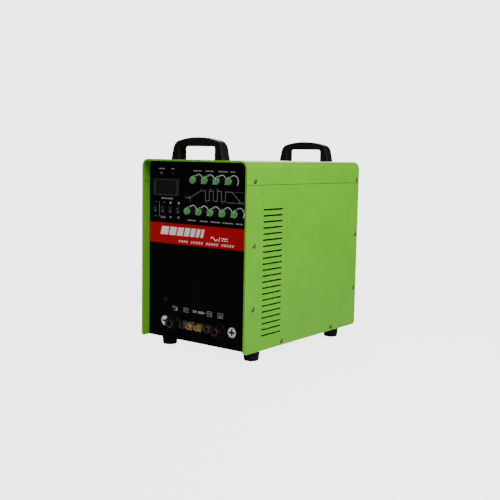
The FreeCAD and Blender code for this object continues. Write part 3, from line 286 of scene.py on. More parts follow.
@dataclass(frozen=True)
class PorousRubber(Finish):
    """Compression-moulded rubber or cut foam: matt, with a grey bloom and dust in its pores."""

    bloom: str = "#232322"
    pore_mm: float = 0.9
    depth_mm: float = 0.05
    gloss: float = 0.15

    def surface(self, tree: bpy.types.NodeTree, where: bpy.types.NodeSocket) -> dict:
        """Patchy bloom, pores and a very rough surface."""
        patch = add_node(tree, "ShaderNodeTexNoise", {
            "Vector": where, "Scale": per_metre(9.0), "Detail": 4.0})
        tone = self.two_tone(tree, patch.outputs[0], (0.42, 0.75), 0.7, self.bloom)
        dull = add_node(tree, "ShaderNodeMapRange", {
            "Value": patch.outputs[0], "To Min": 0.6, "To Max": 0.95})
        pores = add_node(tree, "ShaderNodeTexNoise", {
            "Vector": where, "Scale": per_metre(self.pore_mm)})
        relief = add_node(tree, "ShaderNodeBump", {
            "Height": pores.outputs[0], "Distance": self.depth_mm * MM, "Strength": 0.6})
        return {"Base Color": tone, "Roughness": dull.outputs[0],
                "Normal": relief.outputs[0], "Specular IOR Level": self.gloss}


@dataclass(frozen=True)
class PlatedMetal(Finish):
    """Plated or bare metal: grain of the plating, drawn along the way the stock was worked."""

    dull: str = "#777777"
    rough: float = 0.3
    grain_mm: float = 3.0
    stretch: tuple[float, float, float] = (1.0, 1.0, 1.0)

    def surface(self, tree: bpy.types.NodeTree, where: bpy.types.NodeSocket) -> dict:
        """Two tones of the metal, with scratches that follow the stretch."""
        stain = add_node(tree, "ShaderNodeTexNoise", {
            "Vector": where, "Scale": per_metre(11.0), "Detail": 3.0})
        tone = self.two_tone(tree, stain.outputs[0], (0.3, 0.7), 0.8, self.dull)
        drawn = add_node(tree, "ShaderNodeMapping", {"Vector": where, "Scale": self.stretch})
        grain = add_node(tree, "ShaderNodeTexNoise", {
            "Vector": drawn.outputs[0], "Scale": per_metre(self.grain_mm), "Detail": 6.0})
        rough = add_node(tree, "ShaderNodeMapRange", {
            "Value": grain.outputs[0], **NOISE_SPAN,
            "To Min": self.rough - 0.1, "To Max": self.rough + 0.16})
        relief = add_node(tree, "ShaderNodeBump", {
            "Height": grain.outputs[0], "Distance": 0.02 * MM, "Strength": 0.25})
        return {"Base Color": tone, "Roughness": rough.outputs[0],
                "Normal": relief.outputs[0], "Metallic": 1.0}


@dataclass(frozen=True)
class TurnedBrass(Finish):
    """Free-cutting brass off the lathe: bright, with tool lines round it and brown tarnish."""

    tarnish: str = "#6B4519"
    rough: float = 0.24
    tool_mm: float = 0.8        # real feed marks are about 0.1 mm; drawn coarser so that they show

    def surface(self, tree: bpy.types.NodeTree, where: bpy.types.NodeSocket) -> dict:
        """Tool lines across the turning axis, and tarnish that gathers in patches."""
        stain = add_node(tree, "ShaderNodeTexNoise", {
            "Vector": where, "Scale": per_metre(5.0), "Detail": 4.0})
        tone = self.two_tone(tree, stain.outputs[0], (0.42, 0.72), 0.85, self.tarnish)
        rough = add_node(tree, "ShaderNodeMapRange", {
            "Value": stain.outputs[0], **NOISE_SPAN,
            "To Min": self.rough - 0.06, "To Max": self.rough + 0.2})
        lines = add_node(tree, "ShaderNodeTexWave", {
            "Vector": where, "Scale": wave_scale(self.tool_mm), "Distortion": 0.4},
            wave_type="BANDS", bands_direction=Along.Y.value)
        relief = add_node(tree, "ShaderNodeBump", {
            "Height": lines.outputs[1], "Distance": 0.015 * MM, "Strength": 0.3})
        return {"Base Color": tone, "Roughness": rough.outputs[0],
                "Normal": relief.outputs[0], "Metallic": 1.0}


@dataclass(frozen=True)
class PrintedInk(Finish):
    """Screen-printed ink or a printed film: flat colour, slightly uneven, with a dull gloss."""

    thin: str = "#808080"
    rough: float = 0.45
    gloss: float = 0.2

    def surface(self, tree: bpy.types.NodeTree, where: bpy.types.NodeSocket) -> dict:
        """Ink that thins in small specks, over the grain of the screen."""
        speck = add_node(tree, "ShaderNodeTexNoise", {
            "Vector": where, "Scale": per_metre(1.4), "Detail": 3.0})
        tone = self.two_tone(tree, speck.outputs[0], (0.5, 0.75), 0.5, self.thin)
        dull = add_node(tree, "ShaderNodeMapRange", {
            "Value": speck.outputs[0], **NOISE_SPAN,
            "To Min": self.rough - 0.05, "To Max": self.rough + 0.08})
        relief = add_node(tree, "ShaderNodeBump", {
            "Height": speck.outputs[0], "Distance": 0.01 * MM, "Strength": 0.2})
        return {"Base Color": tone, "Roughness": dull.outputs[0],
                "Normal": relief.outputs[0], "Specular IOR Level": self.gloss}


@dataclass(frozen=True)
class Laminate(Finish):
    """Circuit board: glass-epoxy under green solder mask, with raised copper tracks."""

    track: str = "#2F8F4A"
    track_mm: float = 2.5

    def surface(self, tree: bpy.types.NodeTree, where: bpy.types.NodeSocket) -> dict:
        """Tracks as the cells of a blocky pattern, paler and raised under the mask."""
        cells = add_node(tree, "ShaderNodeTexVoronoi", {
            "Vector": where, "Scale": per_metre(self.track_mm), "Randomness": 0.25},
            distance="MANHATTAN")
        track = add_node(tree, "ShaderNodeMapRange", {
            "Value": cells.outputs[0], "From Min": 0.35, "From Max": 0.45,
            "To Min": 1.0, "To Max": 0.0})
        tone = add_node(tree, "ShaderNodeMix", {
            0: track.outputs[0], 6: linear(self.colour), 7: linear(self.track)},
            data_type="RGBA")
        relief = add_node(tree, "ShaderNodeBump", {
            "Height": track.outputs[0], "Distance": 0.05 * MM, "Strength": 0.5})
        return {"Base Color": tone.outputs[2], "Normal": relief.outputs[0], "Roughness": 0.36}


@dataclass(frozen=True)
class Winding(Finish):
    """Enamelled wire wound side by side: glossy turns with painted shade in the grooves between them."""

    # Painted shade colour in the grooves between turns.
    groove: str = "#20100A"
    wire_mm: float = 1.6
    along: Along = Along.Z

    def surface(self, tree: bpy.types.NodeTree, where: bpy.types.NodeSocket) -> dict:
        """Round turns one after another, with painted shade where they meet."""
        turns = add_node(tree, "ShaderNodeTexWave", {
            "Vector": where, "Scale": wave_scale(self.wire_mm), "Distortion": 0.6,
            "Detail": 1.0}, wave_type="BANDS", bands_direction=self.along.value)
        share = add_node(tree, "ShaderNodeMapRange", {
            "Value": turns.outputs[1], "From Min": 0.1, "From Max": 0.5})
        tone = add_node(tree, "ShaderNodeMix", {
            0: share.outputs[0], 6: linear(self.groove), 7: linear(self.colour)},
            data_type="RGBA")
        relief = add_node(tree, "ShaderNodeBump", {
            "Height": turns.outputs[1], "Distance": 0.4 * MM, "Strength": 0.8})
        return {"Base Color": tone.outputs[2], "Normal": relief.outputs[0], "Roughness": 0.35}


@dataclass(frozen=True)
class ClearMoulding(Finish):
    """Clear or tinted acrylic: light passes through, with faint moulding streaks."""

    rough: float = 0.06
    clear: float = 0.9

    def surface(self, tree: bpy.types.NodeTree, where: bpy.types.NodeSocket) -> dict:
        """Tint that varies slightly, fine streaks and a polished face."""
        streak = add_node(tree, "ShaderNodeTexNoise", {
            "Vector": where, "Scale": per_metre(7.0)})
        value = add_node(tree, "ShaderNodeMapRange", {
            "Value": streak.outputs[0], **NOISE_SPAN,
            "To Min": 0.92, "To Max": 1.08})
        tint = add_node(tree, "ShaderNodeHueSaturation", {
            "Color": linear(self.colour), "Value": value.outputs[0]})
        dull = add_node(tree, "ShaderNodeMapRange", {
            "Value": streak.outputs[0], "To Min": self.rough, "To Max": self.rough + 0.05})
        return {"Base Color": tint.outputs[0], "Roughness": dull.outputs[0],
                "Transmission Weight": self.clear, "IOR": 1.49}


@dataclass(frozen=True)
class Finishes:
    """Every finish on the machine, by the job it does."""

    # The edge colours given below are painted highlights along edges.
    case_green: Finish = PowderCoat("case_green", "#61B01C")
    panel_black: Finish = PowderCoat("panel_black", "#070708", edge="#161617", rough=0.55,
                                     peel_mm=1.6, gloss=0.04, mottle=0.15)
    overlay_black: Finish = PrintedInk("overlay_black", "#060607", thin="#0B0B0C", rough=0.4,
                                       gloss=0.05)
    band_red: Finish = PrintedInk("band_red", "#B80404", thin="#A80303", rough=0.42, gloss=0.06)
    handle_nylon: Finish = MouldedPlastic("handle_nylon", "#0C0C0D", edge="#151516", rough=0.5,
                                          grain_mm=1.3, gloss=0.12)
    foot_rubber: Finish = PorousRubber("foot_rubber", "#101010")
    filter_foam: Finish = PorousRubber("filter_foam", "#0A0A0A", bloom="#161615", pore_mm=1.1,
                                       depth_mm=0.5, gloss=0.02)
    zinc_steel: Finish = PlatedMetal("zinc_steel", "#9FA2A3", dull="#777B7D", rough=0.42,
                                     grain_mm=5.0)
    screw_zinc: Finish = PlatedMetal("screw_zinc", "#9A8450", dull="#6B592E", rough=0.34,
                                     grain_mm=1.2)
    washer_zinc: Finish = PlatedMetal("washer_zinc", "#7F7B4C", dull="#57532F", rough=0.45,
                                      grain_mm=1.0)
    screw_black: Finish = PlatedMetal("screw_black", "#3C3B38", dull="#232220", rough=0.5,
                                      grain_mm=1.0)
    # Dark fill for the seam joints: painted shade that stands in for the shadow inside the gap.
    seam_shade_fill: Finish = PorousRubber("seam_shade_fill", "#12180C", bloom="#1A2412")
    bezel_abs: Finish = MouldedPlastic("bezel_abs", "#242629", edge="#46494D", rough=0.42)
    smoked_window: Finish = ClearMoulding("smoked_window", "#1C1A1C", clear=0.85)
    lamp_clear: Finish = ClearMoulding("lamp_clear", "#7C7D7A", rough=0.12, clear=0.45)
    lamp_red: Finish = ClearMoulding("lamp_red", "#6A1410", rough=0.12, clear=0.4)
    switch_nylon: Finish = MouldedPlastic("switch_nylon", "#101011", edge="#232325", rough=0.34,
                                          gloss=0.35)
    knob_abs: Finish = MouldedPlastic("knob_abs", "#0C0C0D", edge="#1C1C1D", rough=0.46)
    knob_cap_green: Finish = MouldedPlastic("knob_cap_green", "#4C8E4C", edge="#67A866",
                                            rough=0.42, grain_mm=0.7)
    plated_pot: Finish = PlatedMetal("plated_pot", "#A9ACAD", dull="#808385", rough=0.3)
    thermoset: Finish = MouldedPlastic("thermoset", "#0A0A0B", edge="#171718", rough=0.5,
                                       gloss=0.1)
    brass: Finish = TurnedBrass("brass", "#C4A873", tarnish="#4E3A22")
    socket_brass: Finish = TurnedBrass("socket_brass", "#8E6A4C", tarnish="#3A281A", rough=0.34)
    connector_plate: Finish = PlatedMetal("connector_plate", "#6C6763", dull="#3A3836",
                                          rough=0.28, grain_mm=1.0)
    contact_gold: Finish = TurnedBrass("contact_gold", "#E0B45A")
    fan_pbt: Finish = MouldedPlastic("fan_pbt", "#111112", edge="#202021", rough=0.5)
    bright_wire: Finish = PlatedMetal("bright_wire", "#C4C6C8", dull="#A2A5A7", rough=0.16)
    breaker_grey: Finish = MouldedPlastic("breaker_grey", "#A3A39E", edge="#B9B9B4", rough=0.45)
    hose_rubber: Finish = PorousRubber("hose_rubber", "#17191C")
    extruded_aluminium: Finish = PlatedMetal("extruded_aluminium", "#C9CBCD", dull="#A9ACAF",
                                             rough=0.34, stretch=(1.0, 0.05, 1.0))
    board: Finish = Laminate("board", "#115A2C")
    ferrite: Finish = PlatedMetal("ferrite", "#3E3E40", dull="#29292B", rough=0.6)
    copper_turns: Finish = Winding("copper_turns", "#A6522A")
    capacitor_sleeve: Finish = PrintedInk("capacitor_sleeve", "#1A2440", thin="#253358",
                                          gloss=0.5)
    # Its groove colour is painted shade between the tape wraps.
    coil_tape: Finish = Winding("coil_tape", "#C46A1E", groove="#5A2A08", wire_mm=4.0,
                                along=Along.Y)
    ink_white: Finish = PrintedInk("ink_white", "#E8E8E6", thin="#D0D0CE")
    plate_white: Finish = PrintedInk("plate_white", "#EEF1F5", thin="#DCE0E4")
    ink_grey: Finish = PrintedInk("ink_grey", "#9A9A9C", thin="#7E7E80")
    ink_faint: Finish = PrintedInk("ink_faint", "#6A6A6E", thin="#505054")
    ink_band: Finish = PrintedInk("ink_band", "#F6ECEA", thin="#E8C8C4")
    ink_pale_red: Finish = PrintedInk("ink_pale_red", "#DFB6B2", thin="#CB8E8A")
    ink_black: Finish = PrintedInk("ink_black", "#0B0B0C", thin="#151516")
    digit_off: Finish = PrintedInk("digit_off", "#3A1512", thin="#2A100E")


FINISH = Finishes()

NODE_FINISH: dict[str, Finish] = {
    "top_cover": FINISH.case_green, "right_side_panel": FINISH.case_green,
    "left_side_panel": FINISH.case_green, "base_plate": FINISH.zinc_steel,
    "front_panel": FINISH.panel_black, "rear_panel": FINISH.panel_black,
    "control_overlay": FINISH.overlay_black, "red_band": FINISH.band_red,
    "front_handle": FINISH.handle_nylon, "rear_handle": FINISH.handle_nylon,
    "foot_front_left": FINISH.foot_rubber, "foot_front_right": FINISH.foot_rubber,
    "foot_rear_left": FINISH.foot_rubber, "foot_rear_right": FINISH.foot_rubber,
    "display_bezel": FINISH.bezel_abs, "display_window": FINISH.smoked_window,
    "display_module": FINISH.ink_black, "indicator_power": FINISH.lamp_clear,
    "indicator_fault": FINISH.lamp_red, "rocker_housings": FINISH.switch_nylon,
    "potentiometers": FINISH.plated_pot, "socket_contact_negative": FINISH.socket_brass,
    "socket_contact_positive": FINISH.socket_brass, "fan_frame": FINISH.fan_pbt,
    "fan_rotor": FINISH.fan_pbt, "fan_guard": FINISH.bright_wire,
    "power_switch_housing": FINISH.breaker_grey, "power_switch_lever": FINISH.switch_nylon,
    "cable_gland": FINISH.thermoset, "earth_stud": FINISH.zinc_steel,
    "gas_solenoid_valve": FINISH.brass, "gas_hose": FINISH.hose_rubber,
    "heat_sink": FINISH.extruded_aluminium, "power_board": FINISH.board,
    "control_board": FINISH.board, "main_transformer": FINISH.ferrite,
    "output_inductor": FINISH.copper_turns, "bulk_capacitors": FINISH.capacitor_sleeve,
    "hf_ignition_coil": FINISH.coil_tape, "m5_screws": FINISH.screw_zinc,
    "dust_screens": FINISH.filter_foam,
}


# --------------------------------------------------------------------------- mesh making
class Side(Enum):
    """Direction that a part faces, as a unit vector."""

    FRONT = (0.0, -1.0, 0.0)
    REAR = (0.0, 1.0, 0.0)
    LEFT = (-1.0, 0.0, 0.0)
    RIGHT = (1.0, 0.0, 0.0)
    UP = (0.0, 0.0, 1.0)
    DOWN = (0.0, 0.0, -1.0)

    @property
    def vector(self) -> Vector:
        """The direction as a Vector."""
        return Vector(self.value)


def cross_axes(axis: Vector) -> tuple[Vector, Vector]:
    """Two directions at right angles to a line and to each other."""
    first = Vector((0, 0, 1)) if abs(axis.z) < 0.5 else Vector((0, 1, 0))
    return first, first.cross(axis)


def add_object(name: str, data: bpy.types.ID) -> bpy.types.Object:
    """Adds an object with its mesh, lamp or camera data to the scene."""
    made = bpy.data.objects.new(name, data)
    bpy.context.scene.collection.objects.link(made)
    return made


class Maker:
    """Collects one piece's surfaces in millimetres and turns them into a Blender object."""

    def __init__(self, name: str, finishes: Sequence[Finish]) -> None:
        """Starts an empty piece.

        Args:
            name: Name of the Blender object.
            finishes: Finishes that faces refer to by their place in this list.
        """
        self.name = name
        self.finishes = list(finishes)
        self.shape = bmesh.new()

    def point(self, place: Vector) -> bmesh.types.BMVert:
        """Adds one point."""
        return self.shape.verts.new(place)

    def face(self, corners: Sequence[bmesh.types.BMVert], finish: int = 0) -> None:
        """Adds one face of a finish."""
        made = self.shape.faces.new(corners)
        made.material_index = finish

    def spin(self, profile: Sequence[Point2], centre: Vector, facing: Side, steps: int = 48,
             finish: int = 0, ripple: Optional[Ripple] = None) -> None:
        """Turns a profile about a line, as on a lathe.

        Args:
            profile: (radius, distance along the line) pairs; a radius of 0 closes on the line.
            centre: Point on the line that distances start from.
            facing: Direction of the line.
            steps: Corners round the circle.
            finish: Place of the finish in the piece's list.
            ripple: Gives the radius from angle, radius and distance, for flutes and flats.
        """
        axis = facing.vector
        across, other = cross_axes(axis)
        rings = []
        for radius, along in profile:
            middle = centre + axis * along
            if radius <= 1e-6:
                rings.append([self.point(middle)])
                continue
            ring = []
            for i in range(steps):
                angle = math.tau * i / steps
                reach = ripple(angle, radius, along) if ripple else radius
                turn = across * math.cos(angle) + other * math.sin(angle)
                ring.append(self.point(middle + turn * reach))
            rings.append(ring)
        for low, high in zip(rings, rings[1:]):
            self.join_rings(low, high, steps, finish)

    def join_rings(self, low: list, high: list, steps: int, finish: int) -> None:
        """Faces between two neighbouring rings, either of which may be a single point."""
        for i in range(steps):
            j = (i + 1) % steps
            if len(low) == 1 and len(high) == 1:
                return
            if len(low) == 1:
                self.face([low[0], high[i], high[j]], finish)
            elif len(high) == 1:
                self.face([low[i], low[j], high[0]], finish)
            else:
                self.face([low[i], low[j], high[j], high[i]], finish)

    def ribbon(self, left: Sequence[Point2], right: Sequence[Point2], back: float, front: float,
               finish: int = 0) -> None:
        """Flat closed slab facing -Y between two edge lines of (x, z) points.

        Args:
            left: Points down one edge.
            right: As many points down the other edge.
            back: y of the face that lies on the panel.
            front: y of the printed face.
            finish: Place of the finish in the piece's list.
        """
        rows = []
        for a, b in zip(left, right):
            rows.append([self.point(Vector((a[0], front, a[1]))),
                         self.point(Vector((b[0], front, b[1]))),
                         self.point(Vector((b[0], back, b[1]))),
                         self.point(Vector((a[0], back, a[1])))])
        for low, high in zip(rows, rows[1:]):
            for i in range(4):
                j = (i + 1) % 4
                self.face([low[i], low[j], high[j], high[i]], finish)
        self.face(rows[0], finish)
        self.face(rows[-1][::-1], finish)

    def prism(self, outline: Sequence[Vector], sweep: Vector, finish: int = 0) -> None:
        """Closed solid: an outline moved along a vector."""
        low = [self.point(p) for p in outline]
        high = [self.point(p + sweep) for p in outline]
        count = len(low)
        for i in range(count):
            j = (i + 1) % count
            self.face([low[i], low[j], high[j], high[i]], finish)
        self.face(low[::-1], finish)
        self.face(high, finish)

    def turn(self, centre: Vector, axis: Vector, degrees: float) -> None:
        """Turns everything made so far about a line."""
        spin = Matrix.Rotation(math.radians(degrees), 4, axis)
        whole = Matrix.Translation(centre) @ spin @ Matrix.Translation(-centre)
        self.shape.transform(whole)

    def finish_piece(self, body: str, replaced: Iterable[str] = (),
                     crease: float = 32.0, bevel_mm: float = 0.0) -> bpy.types.Object:
        """Makes the object, dresses it and joins it to a body.

        Args:
            body: Body of the frame that it moves with.
            replaced: Nodes of the frame that it stands for.
            crease: Angle in degrees above which an edge stays sharp.
            bevel_mm: Width of the softening of sharp edges, or 0 for none.

        Returns:
            The new object.
        """
        bmesh.ops.recalc_face_normals(self.shape, faces=self.shape.faces[:])
        bmesh.ops.scale(self.shape, vec=Vector((MM, MM, MM)), verts=self.shape.verts[:])
        data = bpy.data.meshes.new(self.name)
        self.shape.to_mesh(data)
        self.shape.free()
        for polygon in data.polygons:
            polygon.use_smooth = True
        data.set_sharp_from_angle(angle=math.radians(crease))
        for finish in self.finishes:
            data.materials.append(finish.material())
        piece = add_object(self.name, data)
        if bevel_mm:
            soft = piece.modifiers.new("softened_edges", "BEVEL")
            soft.width = bevel_mm * MM
            soft.segments = 2
            soft.limit_method = "ANGLE"
            soft.angle_limit = math.radians(crease)
            soft.harden_normals = True
        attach(piece, body)
        if replaced:
            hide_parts(*replaced)
        LOG.info("%s: %d faces, on %s", self.name, len(data.polygons), body)
        return piece


def middle_of(node: str) -> Vector:
    """Centre of a frame node's box, in millimetres."""
    low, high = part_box(node)
    return (low + high) / 2 / MM


def face_of(node: str) -> float:
    """y of a frame node's foremost face, in millimetres."""
    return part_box(node)[0].y / MM


def panel_seats(centre: Vector) -> tuple[Vector, Vector]:
    """Points on the front panel's outer and inner faces, level with a centre."""
    face = face_of("front_panel")
    return Vector((centre.x, face, centre.z)), Vector((centre.x, face + PANEL_SHEET, centre.z))


# --------------------------------------------------------------------------- printed artwork
@dataclass
class Print:
    """Flat artwork on one plane, drawn with bars, strokes, arcs and discs."""

    maker: Maker
    face: float                 # y of the surface under the ink
    ink: float = 0.08           # ink or film thickness; real ink is thinner but would flicker
    pen: int = 0                # place of the ink in the piece's list of finishes
    word_gap: float = 1.1

    def band(self, left: Sequence[Point2], right: Sequence[Point2]) -> None:
        """Ink between two edge lines."""
        self.maker.ribbon(left, right, self.face, self.face - self.ink, self.pen)

    def bar(self, x: float, z: float, width: float, height: float, lean: float = 0.0) -> None:
        """Upright or slanted bar centred on (x, z); lean moves its top to the right."""
        w, h, s = width / 2, height / 2, lean / 2
        self.band([(x - w - s, z - h), (x - w + s, z + h)],
                  [(x + w - s, z - h), (x + w + s, z + h)])

    def stroke(self, points: Sequence[Point2], width: float) -> None:
        """Line of constant width through the points, with mitred corners."""
        left, right = [], []
        for i, point in enumerate(points):
            here = Vector(point)
            before = (here - Vector(points[i - 1])).normalized() if i else None
            after = (Vector(points[i + 1]) - here).normalized() if i + 1 < len(points) else None
            first, last = before or after, after or before
            along = (first + last).normalized()
            normal = Vector((-along.y, along.x))
            reach = width / 2 / max(0.35, normal.dot(Vector((-first.y, first.x))))
            left.append(tuple(here + normal * reach))
            right.append(tuple(here - normal * reach))
        self.band(left, right)

    def arc(self, x: float, z: float, radius: float, widths: Point2, span: Point2,
            steps: int = 40) -> None:
        """Arc whose width grows along it; span is its angles clockwise from the top."""
        left, right = [], []
        for i in range(steps + 1):
            share = i / steps
            angle = math.radians(span[0] + (span[1] - span[0]) * share)
            half = (widths[0] + (widths[1] - widths[0]) * share) / 2
            left.append((x + (radius + half) * math.sin(angle),
                         z + (radius + half) * math.cos(angle)))
            right.append((x + (radius - half) * math.sin(angle),
                          z + (radius - half) * math.cos(angle)))
        self.band(left, right)

    def disc(self, x: float, z: float, radius: float, steps: int = 32) -> None:
        """Filled circle."""
        left, right = [], []
        for i in range(1, steps):
            angle = math.pi * i / steps
            half = radius * math.sin(angle)
            left.append((x - half, z + radius * math.cos(angle)))
            right.append((x + half, z + radius * math.cos(angle)))
        self.band(left, right)

    def frame(self, x: float, z: float, width: float, height: float, line: float) -> None:
        """Outline of a rectangle."""
        w, h = width / 2, height / 2
        for sign in (-1, 1):
            self.bar(x, z + sign * (h - line / 2), width, line)
            self.bar(x + sign * (w - line / 2), z, line, height - 2 * line)

    def caption(self, x: float, z: float, width: float, height: float,
                words: Sequence[float]) -> None:
        """Stand-in for a caption: plain bars whose shares of the width are given."""
        free = width - self.word_gap * (len(words) - 1)
        left = x - width / 2
        for share in words:
            part = free * share / sum(words)
            self.bar(left + part / 2, z, part, height)
            left += part + self.word_gap


@dataclass
class PanelArtwork:
    """Everything printed on the control overlay."""

    overlay: float = field(default_factory=lambda: face_of("control_overlay"))
    cap_height: float = 2.3
    scale_radius: float = 11.2
    scale_span: Point2 = (-135.0, 135.0)
    scale_widths: Point2 = (1.0, 1.9)
    tick_count: int = 11
    line: float = 0.8
    upper_captions: tuple[Caption, ...] = (
        (-4.0, 22.0, (3, 2)), (28.8, 22.4, (4, 3)), (64.5, 25.0, (3, 4)), (89.5, 12.5, (2, 2)))
    lower_captions: tuple[Caption, ...] = (
        (-18.5, 23.0, (4, 2)), (14.5, 21.0, (3, 3)), (45.5, 25.0, (5, 2)),
        (78.0, 28.0, (2, 4, 3)), (108.0, 18.0, (3, 3)))

    def build(self) -> None:
        """Makes the dial scales, captions, pulse diagram and switch marks."""
        self.dial_scales()
        self.captions()
        self.pulse_diagram()
        self.switch_marks()

    def knobs(self) -> dict[str, Vector]:
        """Every knob's name and centre."""
        return {name: middle_of(name) for name in frame["nodes"] if name.startswith("knob_")}

    def dial_scales(self) -> None:
        """Swelling arc and ticks round each knob."""
        maker = Maker("dial_scales", [FINISH.ink_white])
        art = Print(maker, self.overlay)
        start, stop = self.scale_span
        for centre in self.knobs().values():
            art.arc(centre.x, centre.z, self.scale_radius, self.scale_widths, self.scale_span)
            for i in range(self.tick_count):
                angle = math.radians(start + (stop - start) * i / (self.tick_count - 1))
                ray = Vector((math.sin(angle), math.cos(angle)))
                middle = Vector((centre.x, centre.z))
                inner, outer = self.scale_radius - 1.55, self.scale_radius - 0.75
                art.stroke([tuple(middle + ray * inner), tuple(middle + ray * outer)], 0.35)
        maker.finish_piece("case")

    def captions(self) -> None:
        """Plain bars where the real panel has words."""
        maker = Maker("control_captions", [FINISH.ink_grey])
        art = Print(maker, self.overlay)
        upper = middle_of("knob_upper_1").z + 18.2
        lower = middle_of("knob_lower_1").z - 20.4
        for z, row in ((upper, self.upper_captions), (lower, self.lower_captions)):
            for x, width, words in row:
                art.caption(x, z, width, self.cap_height, words)
        lamps = middle_of("indicator_power").z + 8.6
        art.caption(middle_of("indicator_power").x, lamps, 17.0, 2.0, (4, 3))
        art.caption(middle_of("indicator_fault").x, lamps + 0.2, 8.0, 2.0, (1,))
        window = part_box("display_bezel")[0].z / MM
        art.caption(middle_of("display_bezel").x + 1.5, window - 5.6, 34.0, 2.6, (3, 2, 4))
        maker.finish_piece("case")

    def pulse_diagram(self) -> None:
        """Outline of the welding current over time: start, slope up, pulses, slope down."""
        maker = Maker("pulse_diagram", [FINISH.ink_grey, FINISH.ink_faint])
        art = Print(maker, self.overlay)
        thin = self.line * 0.8
        high = middle_of("knob_upper_1").z - 22.0
        low = middle_of("knob_lower_1").z + 22.6
        pulses = [18.4, 29.0, 39.6, 50.2, 60.8, 71.4]
        line: list[Point2] = [(-21.0, low + 5.5), (7.0, high), (pulses[0], high)]
        for i, x in enumerate(pulses):
            down = i % 2 == 0
            line += [(x, low if down else high)] if i else [(x, low)]
            if i + 1 < len(pulses):
                line.append((pulses[i + 1], low if down else high))
        line += [(88.0, high), (109.0, low + 1.5)]
        art.stroke(line, self.line)
        art.stroke([(-38.0, low + 4.0), (-24.5, low + 4.0)], thin)
        art.stroke([(-28.0, low + 6.0), (-24.0, low + 4.0), (-28.0, low + 2.0)], thin)
        art.stroke([(-22.6, low + 7.5), (-22.6, low - 5.0)], thin)
        art.stroke([(75.0, low - 1.6), (117.0, low - 1.6)], thin)
        art.stroke([(117.0, low - 4.5), (117.0, low + 1.2)], thin)
        art.stroke([(106.0, low + 5.0), (110.5, low + 0.2), (104.0, low - 0.2)], thin)
        art.pen = 1
        art.stroke([(92.0, high), (120.0, high)], thin)
        art.stroke([(6.0, high + 1.0), (6.0, high + 5.5)], self.line * 0.7)
        art.stroke([(48.5, high + 1.0), (48.5, high + 5.5)], self.line * 0.7)
        for x in (21.5, 63.0):
            art.stroke([(x - 3.0, low - 2.6), (x, low - 4.8), (x + 3.0, low - 2.6)], thin)
        for x in (32.0, 51.5):
            art.bar(x, high + 3.2, 5.0, 1.8)
        maker.finish_piece("case")

    def switch_marks(self) -> None:
        """Small marks over and under each rocker, and the bracket that joins two of them."""
        maker = Maker("switch_marks", [FINISH.ink_grey, FINISH.ink_faint, FINISH.ink_white])
        art = Print(maker, self.overlay)
        middle = middle_of("rocker_1").z
        above, below = middle + 15.0, middle - 15.2
        columns = [middle_of(f"rocker_{i}").x for i in range(1, 5)]
        art.pen = 1
        art.bar(columns[0] + 1.0, above, 5.0, 1.4)
        art.bar(columns[1] + 3.0, above, 6.0, 1.4)
        art.bar(columns[0], below - 0.4, 7.0, 1.8)
        art.pen = 0
        bracket = (columns[0] + columns[1]) / 2
        art.stroke([(bracket, above + 1.4), (bracket, below), (columns[1] + 8.0, below)], 0.8)
        art.caption(columns[1] + 0.5, below - 2.6, 14.0, 1.6, (3, 2))
        art.pen = 2
        for x, size in ((columns[2], 2.0), (columns[3] + 1.0, 2.3)):
            art.arc(x, above, size - 0.4, (0.9, 0.9), (0.0, 350.0), 24)
            art.stroke([(x - size * 0.5, above), (x + size * 0.5, above)], 0.8)
            art.arc(x, below - 0.3, size - 0.5, (0.8, 0.8), (0.0, 350.0), 24)
        maker.finish_piece("case")


@dataclass
class BandArtwork:
    """Generic white motif on the red band: a run of slanted blocks, a wave sign and dashes."""

    face: float = field(default_factory=lambda: face_of("red_band"))
    blocks: int = 7
    left: float = -105.0
    right: float = 15.0
    height: float = 17.5
    lean: float = 5.0
    gap: float = 3.6
    dash_start: float = -52.0
    dash_pitch: float = 6.9
    dash_places: int = 23

    def build(self) -> None:
        """Makes the motif."""
        maker = Maker("band_motif", [FINISH.ink_band, FINISH.ink_pale_red])
        art = Print(maker, self.face)
        middle = middle_of("red_band").z
        self.slanted_blocks(art, middle + 5.6)
        self.current_signs(art, middle - 3.0)
        art.pen = 1
        self.dash_row(art, middle - 14.6)
        maker.finish_piece("case")

    def slanted_blocks(self, art: Print, z: float) -> None:
        """Blocks that narrow towards the right, an even gap apart."""
        shares = [self.blocks + 2 - i for i in range(self.blocks)]
        unit = (self.right - self.left - self.gap * (self.blocks - 1)) / sum(shares)
        x = self.left
        for share in shares:
            width = unit * share
            art.bar(x + width / 2, z, width, self.height, self.lean)
            x += width + self.gap

    def current_signs(self, art: Print, z: float) -> None:
        """The usual signs for alternating and direct current, side by side."""
        wave = [(34.0 + 18.0 * i / 24, z + 3.4 * math.sin(math.tau * i / 24)) for i in range(25)]
        art.stroke(wave, 1.9)
        art.bar(57.0, z, 1.8, 10.0, 3.0)
        art.bar(71.0, z + 2.0, 17.0, 1.9)
        for x in (64.6, 71.0, 77.4):
            art.bar(x, z - 2.4, 4.2, 1.9)

    def dash_row(self, art: Print, z: float) -> None:
        """Row of short slanted dashes in words of five, with every sixth place left out."""
        for i in range(self.dash_places):
            if i % 6 != 4:
                art.bar(self.dash_start + self.dash_pitch * i, z, 4.4, 5.2, 1.4)


